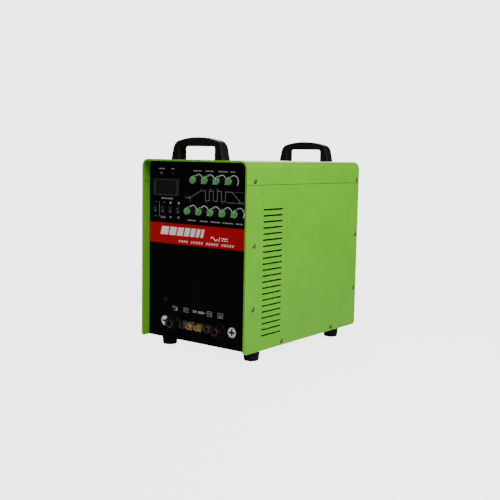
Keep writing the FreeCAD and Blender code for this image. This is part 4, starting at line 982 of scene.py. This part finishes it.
@dataclass
class SocketArtwork:
    """Symbols over the sockets and the polarity plates beside them."""

    face: float = field(default_factory=lambda: face_of("front_panel"))
    plate_radius: float = 10.8
    plate_thick: float = 0.4
    plate_offset: float = 30.5  # outwards from the socket beside it
    arm: float = 7.4
    arm_width: float = 4.3

    def build(self) -> None:
        """Makes the symbols and both plates."""
        self.symbols()
        self.polarity_plate("polarity_plate_negative", "weld_socket_negative", False)
        self.polarity_plate("polarity_plate_positive", "weld_socket_positive", True)

    def symbols(self) -> None:
        """Six small pictograms: torch, lead, gas out, gas back, control plug, work clamp."""
        maker = Maker("socket_symbols", [FINISH.ink_grey])
        art = Print(maker, self.face)
        z = middle_of("weld_socket_positive").z + 30.5
        line = 0.9
        art.frame(-66.5, z + 2.6, 8.0, 4.6, line)
        art.band([(-63.5, z - 5.0), (-58.4, z + 4.2)], [(-56.5, z - 5.0), (-56.9, z + 4.2)])
        art.stroke([(-70.0, z - 4.4), (-64.5, z - 4.4)], line)
        art.frame(-32.0, z, 13.0, 9.6, line)
        art.stroke([(-36.0, z - 2.4), (-33.0, z + 2.2), (-30.4, z - 1.0), (-28.2, z + 2.0)], line)
        for x in (-10.4, -5.0):
            art.bar(x, z, 4.2, 5.0)
        for x in (3.6, 9.0, 14.4):
            art.bar(x, z - 0.2, 4.4, 4.8)
        art.stroke([(18.5, z - 2.0), (22.5, z + 2.0)], line)
        art.frame(33.0, z, 13.0, 11.0, line)
        for dx in (-3.4, 0.0, 3.4):
            for dz in (-2.6, 0.4):
                art.disc(33.0 + dx, z + dz + 1.0, 1.0, 12)
        art.frame(62.0, z, 14.5, 11.0, line)
        art.stroke([(57.0, z + 1.8), (67.0, z + 1.8)], line)
        art.bar(62.0, z - 2.2, 8.0, 2.6)
        maker.finish_piece("case")

    def polarity_plate(self, name: str, socket: str, positive: bool) -> None:
        """White round plate with a dark plus or minus."""
        centre = middle_of(socket)
        x = self.plate_offset * (1 if centre.x > 0 else -1) + centre.x
        maker = Maker(name, [FINISH.plate_white, FINISH.ink_black])
        plate = Vector((x, self.face, centre.z))
        radius, thick = self.plate_radius, self.plate_thick
        maker.spin([(radius, 0.0), (radius, thick - 0.15), (radius - 0.2, thick), (0.0, thick)],
                   plate, Side.FRONT, 48)
        sign = Print(maker, self.face - thick, 0.06, 1)
        sign.bar(x, centre.z, 2 * self.arm, self.arm_width)
        if positive:
            reach = self.arm - self.arm_width / 2
            for side in (-1, 1):
                sign.bar(x, centre.z + side * (self.arm_width + reach) / 2, self.arm_width, reach)
        sign.arc(x, centre.z, radius - 0.9, (0.5, 0.5), (0.0, 359.0), 48)
        maker.finish_piece("case")


# --------------------------------------------------------------------------- controls
@dataclass
class Knob:
    """Fluted knob with a pressed-in green cap and a pointer line."""

    node: str
    flutes: int = 20
    flute_depth: float = 0.55
    skirt_radius: float = 9.5
    skirt_height: float = 2.5
    body_radius: float = 8.6
    front_radius: float = 7.9
    cap_radius: float = 7.75
    cap_thick: float = 3.5
    clearance: float = 0.8      # between the skirt and the overlay
    steps: int = 120

    @cached_property
    def front(self) -> float:
        """y of the cap's face."""
        return face_of(self.node)

    @cached_property
    def length(self) -> float:
        """From the back of the skirt to the cap's face."""
        return face_of("control_overlay") - self.clearance - self.front

    def build(self) -> None:
        """Makes the body and the cap, both on the knob's own body."""
        centre = middle_of(self.node)
        self.body(Vector((centre.x, self.front + self.length, centre.z)))
        self.cap(Vector((centre.x, self.front, centre.z)))

    def flute(self, angle: float, radius: float, along: float) -> float:
        """Radius of the gripped part: rounded ribs that fade out at both ends."""
        start, stop = self.skirt_height + 0.5, self.length - self.cap_thick
        if not start < along < stop:
            return radius
        fade = min(1.0, (along - start) / 0.8, (stop - along) / 0.6)
        groove = (0.5 - 0.5 * math.cos(angle * self.flutes)) ** 1.6
        return radius - self.flute_depth * groove * max(0.0, fade)

    def body(self, base: Vector) -> None:
        """Black skirt, fluted barrel, pointer rib and the shaft behind."""
        maker = Maker(self.node + "_barrel", [FINISH.knob_abs, FINISH.ink_white])
        skirt, height, reach = self.skirt_radius, self.skirt_height, self.length - self.cap_thick
        profile = [(0.0, -10.0), (2.9, -10.0), (2.9, 3.2), (6.6, 3.2), (6.6, 0.0),
                   (skirt - 0.3, 0.0), (skirt, 0.4), (skirt, height - 0.6),
                   (skirt - 0.25, height), (self.body_radius + 0.1, height + 0.15),
                   (self.body_radius, height + 0.6)]
        for i in range(1, 9):
            share = i / 9
            radius = self.body_radius + (self.front_radius - self.body_radius) * share
            profile.append((radius, height + 0.6 + (reach - height - 0.9) * share))
        profile += [(self.front_radius, reach - 0.25), (self.front_radius - 0.3, reach),
                    (3.9, reach), (3.9, reach - 2.5), (0.0, reach - 2.5)]
        maker.spin(profile, base, Side.FRONT, self.steps, ripple=self.flute)
        back, front = base.y - height - 0.4, base.y - reach + 0.2
        low, high = base.z + self.front_radius - 1.0, base.z + self.body_radius + 0.35
        outline = [Vector((base.x - 0.45, back, low)), Vector((base.x - 0.45, front, low)),
                   Vector((base.x - 0.45, front, high - 0.25)), Vector((base.x - 0.45, back, high))]
        maker.prism(outline, Vector((0.9, 0.0, 0.0)), 1)
        maker.finish_piece(self.node, [self.node])

    def cap(self, front: Vector) -> None:
        """Green cap: rounded rim, shallow dish, moulding dimple and a pointer line."""
        maker = Maker(self.node + "_cap", [FINISH.knob_cap_green, FINISH.ink_white])
        rim, thick = self.cap_radius, self.cap_thick
        profile = [(0.0, -thick - 2.4), (3.8, -thick - 2.4), (3.8, -thick), (rim, -thick),
                   (rim + 0.1, -thick + 0.3), (rim + 0.05, -1.3), (rim - 0.15, -0.7),
                   (rim - 0.5, -0.25), (rim - 1.0, -0.02), (rim - 1.5, -0.06),
                   (rim - 2.1, -0.38), (rim - 3.2, -0.62), (rim - 5.0, -0.74), (1.2, -0.78),
                   (1.0, -1.0), (0.0, -1.05)]
        maker.spin(profile, front, Side.FRONT, 64)
        line = Print(maker, front.y + 0.8, 0.7, 1)
        line.bar(front.x, front.z + 4.5, 0.8, 4.2)
        maker.finish_piece(self.node)


@dataclass
class Rocker:
    """Dished rocker with its two moulded marks, on its own pivot."""

    node: str
    width: float = 6.8
    reach: float = 5.4
    back: float = 1.0           # behind the pivot
    crown: float = 6.0          # before the pivot, at the middle
    dish: float = 1.6           # how much lower the ends are than the middle
    tilt: float = 8.0

    def build(self) -> None:
        """Makes the cap level, adds its marks and tips it to its resting angle."""
        joint = next(j for j in frame["joints"] if j["child"] == self.node)
        pivot = Vector(joint["pos_m"]) / MM
        maker = Maker(self.node + "_cap", [FINISH.switch_nylon, FINISH.ink_white])
        outline = [Vector((pivot.x - self.width / 2, pivot.y + self.back, pivot.z - self.reach))]
        for i in range(13):
            z = -self.reach + 2 * self.reach * i / 12
            share = abs(z) / self.reach
            dip = self.crown - self.dish * share - 0.5 * math.sin(math.pi * share)
            outline.append(Vector((outline[0].x, pivot.y - dip, pivot.z + z)))
        outline.append(Vector((outline[0].x, pivot.y + self.back, pivot.z + self.reach)))
        maker.prism(outline, Vector((self.width, 0.0, 0.0)))
        maker.spin([(0.0, 0.0), (1.0, 0.0), (1.0, 8.2), (0.0, 8.2)],
                   pivot - Vector((4.1, 0.0, 0.0)), Side.RIGHT, 20)
        high = Print(maker, pivot.y - 4.75, 0.12, 1)
        high.bar(pivot.x, pivot.z + 3.2, 0.6, 2.0)
        high.arc(pivot.x, pivot.z - 3.2, 1.0, (0.5, 0.5), (0.0, 358.0), 20)
        maker.turn(pivot, Vector((1.0, 0.0, 0.0)), self.tilt)
        maker.finish_piece(self.node, [self.node], bevel_mm=0.35)


@dataclass
class DisplayDigits:
    """Three unlit seven-segment digits behind the smoked window."""

    count: int = 3
    height: float = 15.5
    width: float = 9.0
    pitch: float = 15.0
    stroke: float = 1.7
    lean: float = 1.2

    def build(self) -> None:
        """Makes every segment of every digit."""
        maker = Maker("display_digits", [FINISH.digit_off])
        art = Print(maker, face_of("display_module"), 0.15)
        middle = middle_of("display_window")
        for i in range(self.count):
            self.digit(art, middle.x + (i - (self.count - 1) / 2) * self.pitch, middle.z)
        maker.finish_piece("case")

    def digit(self, art: Print, x: float, z: float) -> None:
        """One digit: three level and four upright segments, and its point."""
        half, gap = self.height / 2, 0.35
        for level in (-1, 0, 1):
            shift = self.lean * level / 2
            art.bar(x + shift, z + level * (half - self.stroke / 2),
                    self.width - 2 * (self.stroke + gap), self.stroke)
        for side in (-1, 1):
            for level in (-1, 1):
                shift = self.lean * level / 4
                art.bar(x + side * (self.width - self.stroke) / 2 + shift,
                        z + level * (half / 2 - 0.1), self.stroke,
                        half - self.stroke - 2 * gap + 0.6, self.lean / 2)
        art.disc(x + self.width / 2 + 1.8, z - half + 0.8, 0.8, 12)


# --------------------------------------------------------------------------- sockets
def hexagon(flats: float) -> Ripple:
    """Cuts a turned shape back to a hexagon of that size across its flats."""
    def cut(angle: float, radius: float, along: float) -> float:
        """Radius at one angle, never more than the turned one."""
        turn = (angle + math.pi / 6) % (math.pi / 3) - math.pi / 6
        return min(radius, flats / 2 / math.cos(turn))
    return cut


@dataclass
class GasFittings:
    """Brass bulkhead fittings: chamfered hexagon, threaded barrel, bore and a hose tail."""

    node: str = "gas_fittings"
    mounts: tuple[str, str] = ("torch_gas_nut", "return_gas_nut")
    flats: float = 17.0
    hex_height: float = 9.0
    barrel_radius: float = 6.5
    barrel_end: float = 19.0
    pitch: float = 1.5
    bore_radius: float = 2.0

    def build(self) -> None:
        """Makes both fittings where the record's gas mounts are."""
        maker = Maker("gas_fittings_turned", [FINISH.brass])
        for mount in frame["record"]["mounts"]:
            if mount["name"] in self.mounts:
                self.fitting(maker, Vector(mount["pos_m"]) / MM)
        maker.finish_piece("case", [self.node])

    def fitting(self, maker: Maker, place: Vector) -> None:
        """One fitting: the part before the panel and the tail with its nut behind it."""
        base, inside = panel_seats(place)
        top = self.hex_height
        corner = self.flats / math.sqrt(3.0)
        maker.spin([(6.0, 0.0), (corner, 0.0), (corner, top - 1.4), (corner - 1.2, top),
                    (6.0, top)], base, Side.FRONT, 96, ripple=hexagon(self.flats))
        maker.spin(self.thread(top - 0.4, self.barrel_end), base, Side.FRONT, 48)
        maker.spin([(3.6, 8.0), (3.6, 14.0), (3.3, 14.0), (3.6, 16.5), (3.3, 16.5),
                    (3.6, 19.0), (3.0, 24.0), (self.bore_radius, 24.0)], inside, Side.REAR, 32)
        maker.spin([(6.4, 0.0), (corner, 0.0), (corner, 5.0), (6.4, 5.0), (6.4, 8.0),
                    (3.0, 8.0)], inside, Side.REAR, 96, ripple=hexagon(self.flats))

    def thread(self, start: float, stop: float) -> list[Point2]:
        """Thread profile with an undercut, a chamfered end and the bore."""
        crest, root = self.barrel_radius, self.barrel_radius - 0.75
        profile = [(root, start), (root, start + 1.2)]
        along = start + 1.2
        while along + self.pitch < stop - 0.9:
            profile += [(crest, along + self.pitch * 0.42), (crest, along + self.pitch * 0.58),
                        (root, along + self.pitch)]
            along += self.pitch
        profile += [(crest - 0.1, stop - 0.7), (crest - 0.9, stop), (3.4, stop),
                    (self.bore_radius, stop - 1.6), (self.bore_radius, start), (0.0, start)]
        return profile


@dataclass
class ControlSocket:
    """Round multi-pin socket: knurled ring, threaded shell, insulator and gold contacts."""

    node: str
    ring_radius: float = 9.1
    ring_height: float = 3.2
    shell_radius: float = 7.7
    shell_end: float = 12.0
    nut_flats: float = 17.0
    pins: int = 5

    def knurl(self, angle: float, radius: float, along: float) -> float:
        """Straight knurl on the ring's rim."""
        return radius - (0.25 if math.cos(angle * 40) > 0 and radius > 9.0 else 0.0)

    def build(self) -> None:
        """Makes the shell with its ring, then the insulator and contacts."""
        base, rear = panel_seats(middle_of(self.node))
        maker = Maker(self.node + "_shell", [FINISH.connector_plate, FINISH.thermoset,
                                             FINISH.contact_gold])
        ring, height = self.ring_radius, self.ring_height
        maker.spin([(7.4, 0.0), (ring - 0.3, 0.0), (ring, 0.3), (ring, height - 0.6),
                    (ring - 0.5, height), (7.4, height)], base, Side.FRONT, 160, ripple=self.knurl)
        profile = [(7.0, height - 0.5), (7.0, height + 0.6)]
        along, pitch = height + 0.6, 1.0
        while along + pitch < self.shell_end - 0.6:
            profile += [(self.shell_radius, along + 0.4), (self.shell_radius, along + 0.6),
                        (self.shell_radius - 0.5, along + pitch)]
            along += pitch
        profile += [(self.shell_radius, self.shell_end - 0.5),
                    (self.shell_radius - 0.4, self.shell_end), (6.6, self.shell_end),
                    (6.4, self.shell_end - 0.3), (6.4, self.shell_end - 4.0)]
        maker.spin(profile, base, Side.FRONT, 64)
        deep = self.shell_end - 3.4
        maker.spin([(6.4, deep - 1.0), (6.4, deep), (0.0, deep)], base, Side.FRONT, 48, 1)
        for i in range(self.pins):
            angle = math.radians(90 + 360 / self.pins * i)
            pin = base + Vector((4.0 * math.cos(angle), 0.0, 4.0 * math.sin(angle)))
            maker.spin([(0.75, deep - 0.5), (0.75, deep + 2.2), (0.45, deep + 2.7),
                        (0.0, deep + 2.8)], pin, Side.FRONT, 16, 2)
        maker.spin([(7.0, 0.0), (9.8, 0.0), (9.8, 3.0), (7.0, 3.0), (7.0, 8.0), (5.6, 8.0),
                    (5.6, 14.0), (0.0, 14.0)], rear, Side.REAR, 96,
                   ripple=hexagon(self.nut_flats))
        maker.finish_piece("case", [self.node])


@dataclass
class WeldSocket:
    """Insulating body of a welding socket: flange, long fluted collar and clamp nut."""

    node: str
    flange_radius: float = 18.5
    collar_radius: float = 13.7
    collar_end: float = 19.0
    bore_radius: float = 8.25
    nut_flats: float = 30.0
    ribs: int = 12

    def grip(self, angle: float, radius: float, along: float) -> float:
        """Radius of the collar with its shallow finger flutes."""
        if 7.4 < along < self.collar_end - 1.6 and radius > 13.0:
            return radius - 0.7 * max(0.0, math.cos(angle * self.ribs)) ** 3
        return radius

    def build(self) -> None:
        """Makes the body as one turned and fluted piece."""
        base, rear = panel_seats(middle_of(self.node))
        maker = Maker(self.node + "_body", [FINISH.thermoset])
        flange, collar, bore = self.flange_radius, self.collar_radius, self.bore_radius
        top = self.collar_end
        profile = [(bore, -12.0), (13.5, -12.0), (13.5, 0.0), (flange, 0.0),
                   (flange, 3.8), (flange - 0.3, 4.5), (flange - 1.3, 5.5),
                   (flange - 2.2, 5.8), (collar + 0.9, 5.9), (collar + 0.2, 6.3),
                   (collar, 7.0), (collar, 7.8), (collar, 8.6), (collar, top - 2.4),
                   (collar, top - 1.5), (collar - 0.2, top - 0.7), (collar - 0.8, top - 0.1),
                   (collar - 1.6, top - 0.05), (collar - 2.0, top - 0.9),
                   (bore + 1.5, top - 0.9), (bore + 1.1, top - 0.2), (bore + 0.3, top - 0.2),
                   (bore, top - 0.6), (bore, -12.0)]
        maker.spin(profile, base, Side.FRONT, 144, ripple=self.grip)
        maker.spin([(13.4, 0.0), (17.3, 0.0), (17.3, 6.2), (16.4, 7.0), (13.4, 7.0)], rear,
                   Side.REAR, 96, ripple=hexagon(self.nut_flats))
        maker.finish_piece("case", [self.node])


# --------------------------------------------------------------------------- fasteners
@dataclass(frozen=True)
class ScrewPlace:
    """Where one screw sits: under its head, the way the head faces, shank and rim sizes."""

    seat: Vector
    facing: Side
    length: float
    rim: float


@dataclass
class CaseScrews:
    """Every M4 screw: domed cross-recess head over its washer face, with its shank."""

    node: str = "m4_screws"
    washer_thick: float = 0.7
    head_radius: float = 4.0
    head_height: float = 1.85
    node_head: float = 1.9      # height of the frame node's own plain head
    recess_reach: float = 2.3
    recess_half: float = 0.5
    recess_depth: float = 1.0

    def build(self) -> None:
        """Finds each screw of the node and makes its detailed version in the same place."""
        maker = Maker("case_screws", [FINISH.screw_zinc, FINISH.washer_zinc,
                                      FINISH.screw_black])
        for place in self.places():
            self.screw(maker, place)
        maker.finish_piece("case", [self.node], crease=40.0)

    def places(self) -> list[ScrewPlace]:
        """Where each screw of the node sits."""
        data = frame["nodes"][self.node].data
        shape = bmesh.new()
        shape.from_mesh(data)
        bmesh.ops.remove_doubles(shape, verts=shape.verts[:], dist=0.00002)
        found = []
        left = set(shape.verts)
        while left:
            group, queue = set(), [left.pop()]
            while queue:
                vert = queue.pop()
                group.add(vert)
                for edge in vert.link_edges:
                    other = edge.other_vert(vert)
                    if other in left:
                        left.remove(other)
                        queue.append(other)
            found.append(self.measure([v.co / MM for v in group]))
        shape.free()
        # The walk above starts from a set, which has no order of its own.
        return sorted(found, key=lambda place: tuple(place.seat))

    def measure(self, points: list[Vector]) -> ScrewPlace:
        """Reads one screw: its head is the end whose points stand farthest from its line."""
        low = Vector([min(p[i] for p in points) for i in range(3)])
        high = Vector([max(p[i] for p in points) for i in range(3)])
        size = high - low
        middle = (low + high) / 2
        axis = max(range(3), key=lambda i: abs(size[i] - sorted(size)[1]))
        wide = [p for p in points
                if max(abs(p[i] - middle[i]) for i in range(3) if i != axis) > 3.0]
        positive = sum(p[axis] for p in wide) / len(wide) > middle[axis]
        vector = Vector((0.0, 0.0, 0.0))
        vector[axis] = 1.0 if positive else -1.0
        facing = next(side for side in Side if (side.vector - vector).length < 0.01)
        seat = middle.copy()
        top = high[axis] if positive else low[axis]
        seat[axis] = top - self.node_head * vector[axis]
        return ScrewPlace(seat, facing, size[axis] - self.node_head, size[axis - 1] / 2 - 0.05)

    def screw(self, maker: Maker, place: ScrewPlace) -> None:
        """Washer face, shank and a head whose cross is pressed in."""
        seat, facing, length, ring = place.seat, place.facing, place.length, place.rim
        plain, washer = (2, 2) if facing is Side.FRONT else (0, 1)
        maker.spin([(2.1, 0.0), (ring, 0.0), (ring, 0.25), (ring - 0.5, self.washer_thick),
                    (self.head_radius - 0.3, self.washer_thick - 0.1), (2.1, 0.3)],
                   seat, facing, 32, washer)
        maker.spin([(1.95, 0.0), (1.95, -length + 0.6), (1.3, -length), (0.0, -length)],
                   seat, facing, 16, plain)
        rise = self.head_height - self.washer_thick
        profile = [(self.head_radius - 0.05, self.washer_thick - 0.15)]
        for i in range(13):
            share = i / 12
            radius = self.head_radius * (1 - share)
            profile.append((radius, self.washer_thick + rise * (1 - (1 - share) ** 2.6) ** 0.6))
        start = len(maker.shape.verts)
        maker.spin(profile, seat, facing, 48, plain)
        maker.shape.verts.ensure_lookup_table()
        axis = facing.vector
        across, other = cross_axes(axis)
        turn = math.radians((seat.x * 7 + seat.y * 13 + seat.z * 5) % 90)
        first = across * math.cos(turn) + other * math.sin(turn)
        second = across * -math.sin(turn) + other * math.cos(turn)
        for vert in maker.shape.verts[start:]:
            offset = vert.co - seat
            a, b = abs(offset.dot(first)), abs(offset.dot(second))
            near, far = min(a, b), max(a, b)
            if near < self.recess_half and far < self.recess_reach:
                slope = 1.0 - far / self.recess_reach * 0.55
                vert.co -= axis * self.recess_depth * slope


@dataclass
class SeamShadeFill:
    """Dark bead in the joint between the cap and each side sheet: painted shade that stands in for the shadow
    inside the gap.
    """

    gap: float = 0.9            # height of the joint above the side sheet
    inset: float = 0.45         # below the painted face
    depth: float = 0.9
    end: float = 0.3            # short of the sheet's front and rear edges
    sheets: tuple[str, str] = ("left_side_panel", "right_side_panel")

    def build(self) -> None:
        """Makes one bead in each joint."""
        maker = Maker("seam_shade_fills", [FINISH.seam_shade_fill])
        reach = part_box("top_cover")[1].x / MM - self.inset
        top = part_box("top_cover")[0].z / MM
        bottom = top - self.gap
        for sheet in self.sheets:
            low, high = (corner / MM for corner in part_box(sheet))
            out = 1 if high.x > 0 else -1
            front = low.y + self.end
            outer, inner = out * reach, out * (reach - self.depth)
            outline = [Vector((outer, front, bottom)), Vector((inner, front, bottom)),
                       Vector((inner, front, top)), Vector((outer, front, top))]
            maker.prism(outline, Vector((0.0, high.y - low.y - 2 * self.end, 0.0)))
        maker.finish_piece("case")


# --------------------------------------------------------------------------- studio
@dataclass(frozen=True)
class SoftBox:
    """Square soft lamp: where it hangs, the point it faces and its side, in metres."""

    name: str
    place: Point3
    aim: Point3
    side: float
    watts: float

    def hang(self) -> None:
        """Adds the lamp to the scene."""
        data = bpy.data.lights.new(self.name, "AREA")
        data.shape = "RECTANGLE"
        data.size = self.side
        data.size_y = self.side
        data.energy = self.watts
        lamp = add_object(self.name, data)
        lamp.location = self.place
        facing = Vector(self.aim) - Vector(self.place)
        lamp.rotation_euler = facing.to_track_quat("-Z", "Y").to_euler()


@dataclass
class Studio:
    """Camera, pale floor and soft lamps."""

    camera_place: Point3 = (1.1030, -1.4598, 0.4159)
    azimuth: float = 37.37
    pitch: float = -6.546
    roll: float = 1.056
    lens: float = 58.45
    floor_radius: float = 9.0
    floor_fade: Point2 = (0.7, 2.6)     # where the floor starts to fade and is gone
    floor_colour: str = "#B4B5B8"
    light_colour: str = "#FAFBFF"
    floor_glow: float = 3.4     # lit from under, so that it meets the backdrop
    backdrop: float = 4.0
    ambient: float = 0.16
    lamps: tuple[SoftBox, ...] = (
        SoftBox("key_right", (1.25, -0.32, 1.05), (0.14, -0.05, 0.22), 0.8, 30.0),
        SoftBox("front_fill", (0.3, -3.4, 1.3), (0.0, 0.0, 0.2), 1.6, 36.0),
        SoftBox("top_soft", (0.2, 0.4, 2.9), (0.0, 0.0, 0.3), 2.6, 3.0),
        SoftBox("left_soft", (-2.6, 0.6, 1.6), (0.0, 0.0, 0.2), 1.8, 12.0),
        SoftBox("rear_soft", (-2.0, 2.6, 1.5), (0.0, 0.0, 0.2), 1.8, 75.0))

    def build(self) -> None:
        """Makes the camera, the backdrop and the lamps."""
        self.camera()
        self.floor()
        self.sky()
        for lamp in self.lamps:
            lamp.hang()

    def camera(self) -> None:
        """Camera at the eye of the view, with its small roll."""
        data = bpy.data.cameras.new("view")
        data.lens = self.lens
        data.sensor_width = 36.0
        eye = add_object("view", data)
        turn = (Matrix.Rotation(math.radians(self.azimuth), 4, "Z")
                @ Matrix.Rotation(math.radians(90.0 + self.pitch), 4, "X")
                @ Matrix.Rotation(math.radians(self.roll), 4, "Z"))
        eye.matrix_world = Matrix.Translation(Vector(self.camera_place)) @ turn
        bpy.context.scene.camera = eye

    def floor(self) -> None:
        """Pale floor that fades into the backdrop away from the machine."""
        shape = bmesh.new()
        bmesh.ops.create_circle(shape, cap_ends=True, segments=96, radius=self.floor_radius)
        data = bpy.data.meshes.new("studio_floor")
        shape.to_mesh(data)
        shape.free()
        floor = add_object("studio_floor", data)
        paint = bpy.data.materials.new("studio_floor")
        paint.use_nodes = True
        tree = paint.node_tree
        tree.nodes.clear()
        where = add_node(tree, "ShaderNodeTexCoord").outputs["Object"]
        matt = add_node(tree, "ShaderNodeBsdfDiffuse", {"Color": linear(self.floor_colour)})
        path = add_node(tree, "ShaderNodeLightPath")
        lit = add_node(tree, "ShaderNodeMapRange", {
            "Value": path.outputs["Is Camera Ray"], "To Max": self.floor_glow})
        glow = add_node(tree, "ShaderNodeEmission", {
            "Color": linear(self.light_colour), "Strength": lit.outputs[0]})
        both = add_node(tree, "ShaderNodeAddShader", {0: matt.outputs[0], 1: glow.outputs[0]})
        gone = add_node(tree, "ShaderNodeBsdfTransparent")
        far = add_node(tree, "ShaderNodeVectorMath", {0: where}, operation="LENGTH")
        fade = add_node(tree, "ShaderNodeMapRange", {
            "Value": far.outputs["Value"], "From Min": self.floor_fade[0],
            "From Max": self.floor_fade[1]}, interpolation_type="SMOOTHSTEP")
        mix = add_node(tree, "ShaderNodeMixShader", {
            0: fade.outputs[0], 1: both.outputs[0], 2: gone.outputs[0]})
        add_node(tree, "ShaderNodeOutputMaterial", {"Surface": mix.outputs[0]})
        data.materials.append(paint)

    def sky(self) -> None:
        """Near-white backdrop that lights the machine only a little."""
        world = bpy.data.worlds.new("studio")
        bpy.context.scene.world = world
        world.use_nodes = True
        tree = world.node_tree
        tree.nodes.clear()
        path = add_node(tree, "ShaderNodeLightPath")
        strength = add_node(tree, "ShaderNodeMapRange", {
            "Value": path.outputs["Is Camera Ray"], "To Min": self.ambient,
            "To Max": self.backdrop})
        glow = add_node(tree, "ShaderNodeBackground", {
            "Color": linear(self.light_colour), "Strength": strength.outputs[0]})
        add_node(tree, "ShaderNodeOutputWorld", {"Surface": glow.outputs[0]})


# --------------------------------------------------------------------------- assembly
def dress_frame() -> None:
    """Gives every frame node that stays in view its finish."""
    for name, finish in NODE_FINISH.items():
        piece = frame["nodes"][name]
        if not piece.material_slots:
            piece.data.materials.append(None)
        for place in piece.material_slots:
            place.material = finish.material()
        LOG.info("%s: dressed as %s", name, finish.name)


def main() -> None:
    """Builds the machine's pieces in order, then the studio."""
    logging.basicConfig(level=logging.INFO, format="%(name)s: %(message)s")
    dress_frame()
    knobs = [Knob(name) for name in sorted(frame["nodes"]) if name.startswith("knob_")]
    rockers = [Rocker(f"rocker_{i}") for i in range(1, 5)]
    sockets = [WeldSocket("weld_socket_negative"), WeldSocket("weld_socket_positive"),
               ControlSocket("torch_control_socket"), ControlSocket("remote_control_socket"),
               GasFittings()]
    artwork = [PanelArtwork(), BandArtwork(), SocketArtwork(), DisplayDigits()]
    for part in [*knobs, *rockers, *sockets, *artwork, CaseScrews(), SeamShadeFill()]:
        part.build()
    Studio().build()


if __name__ == "__main__":
    main()
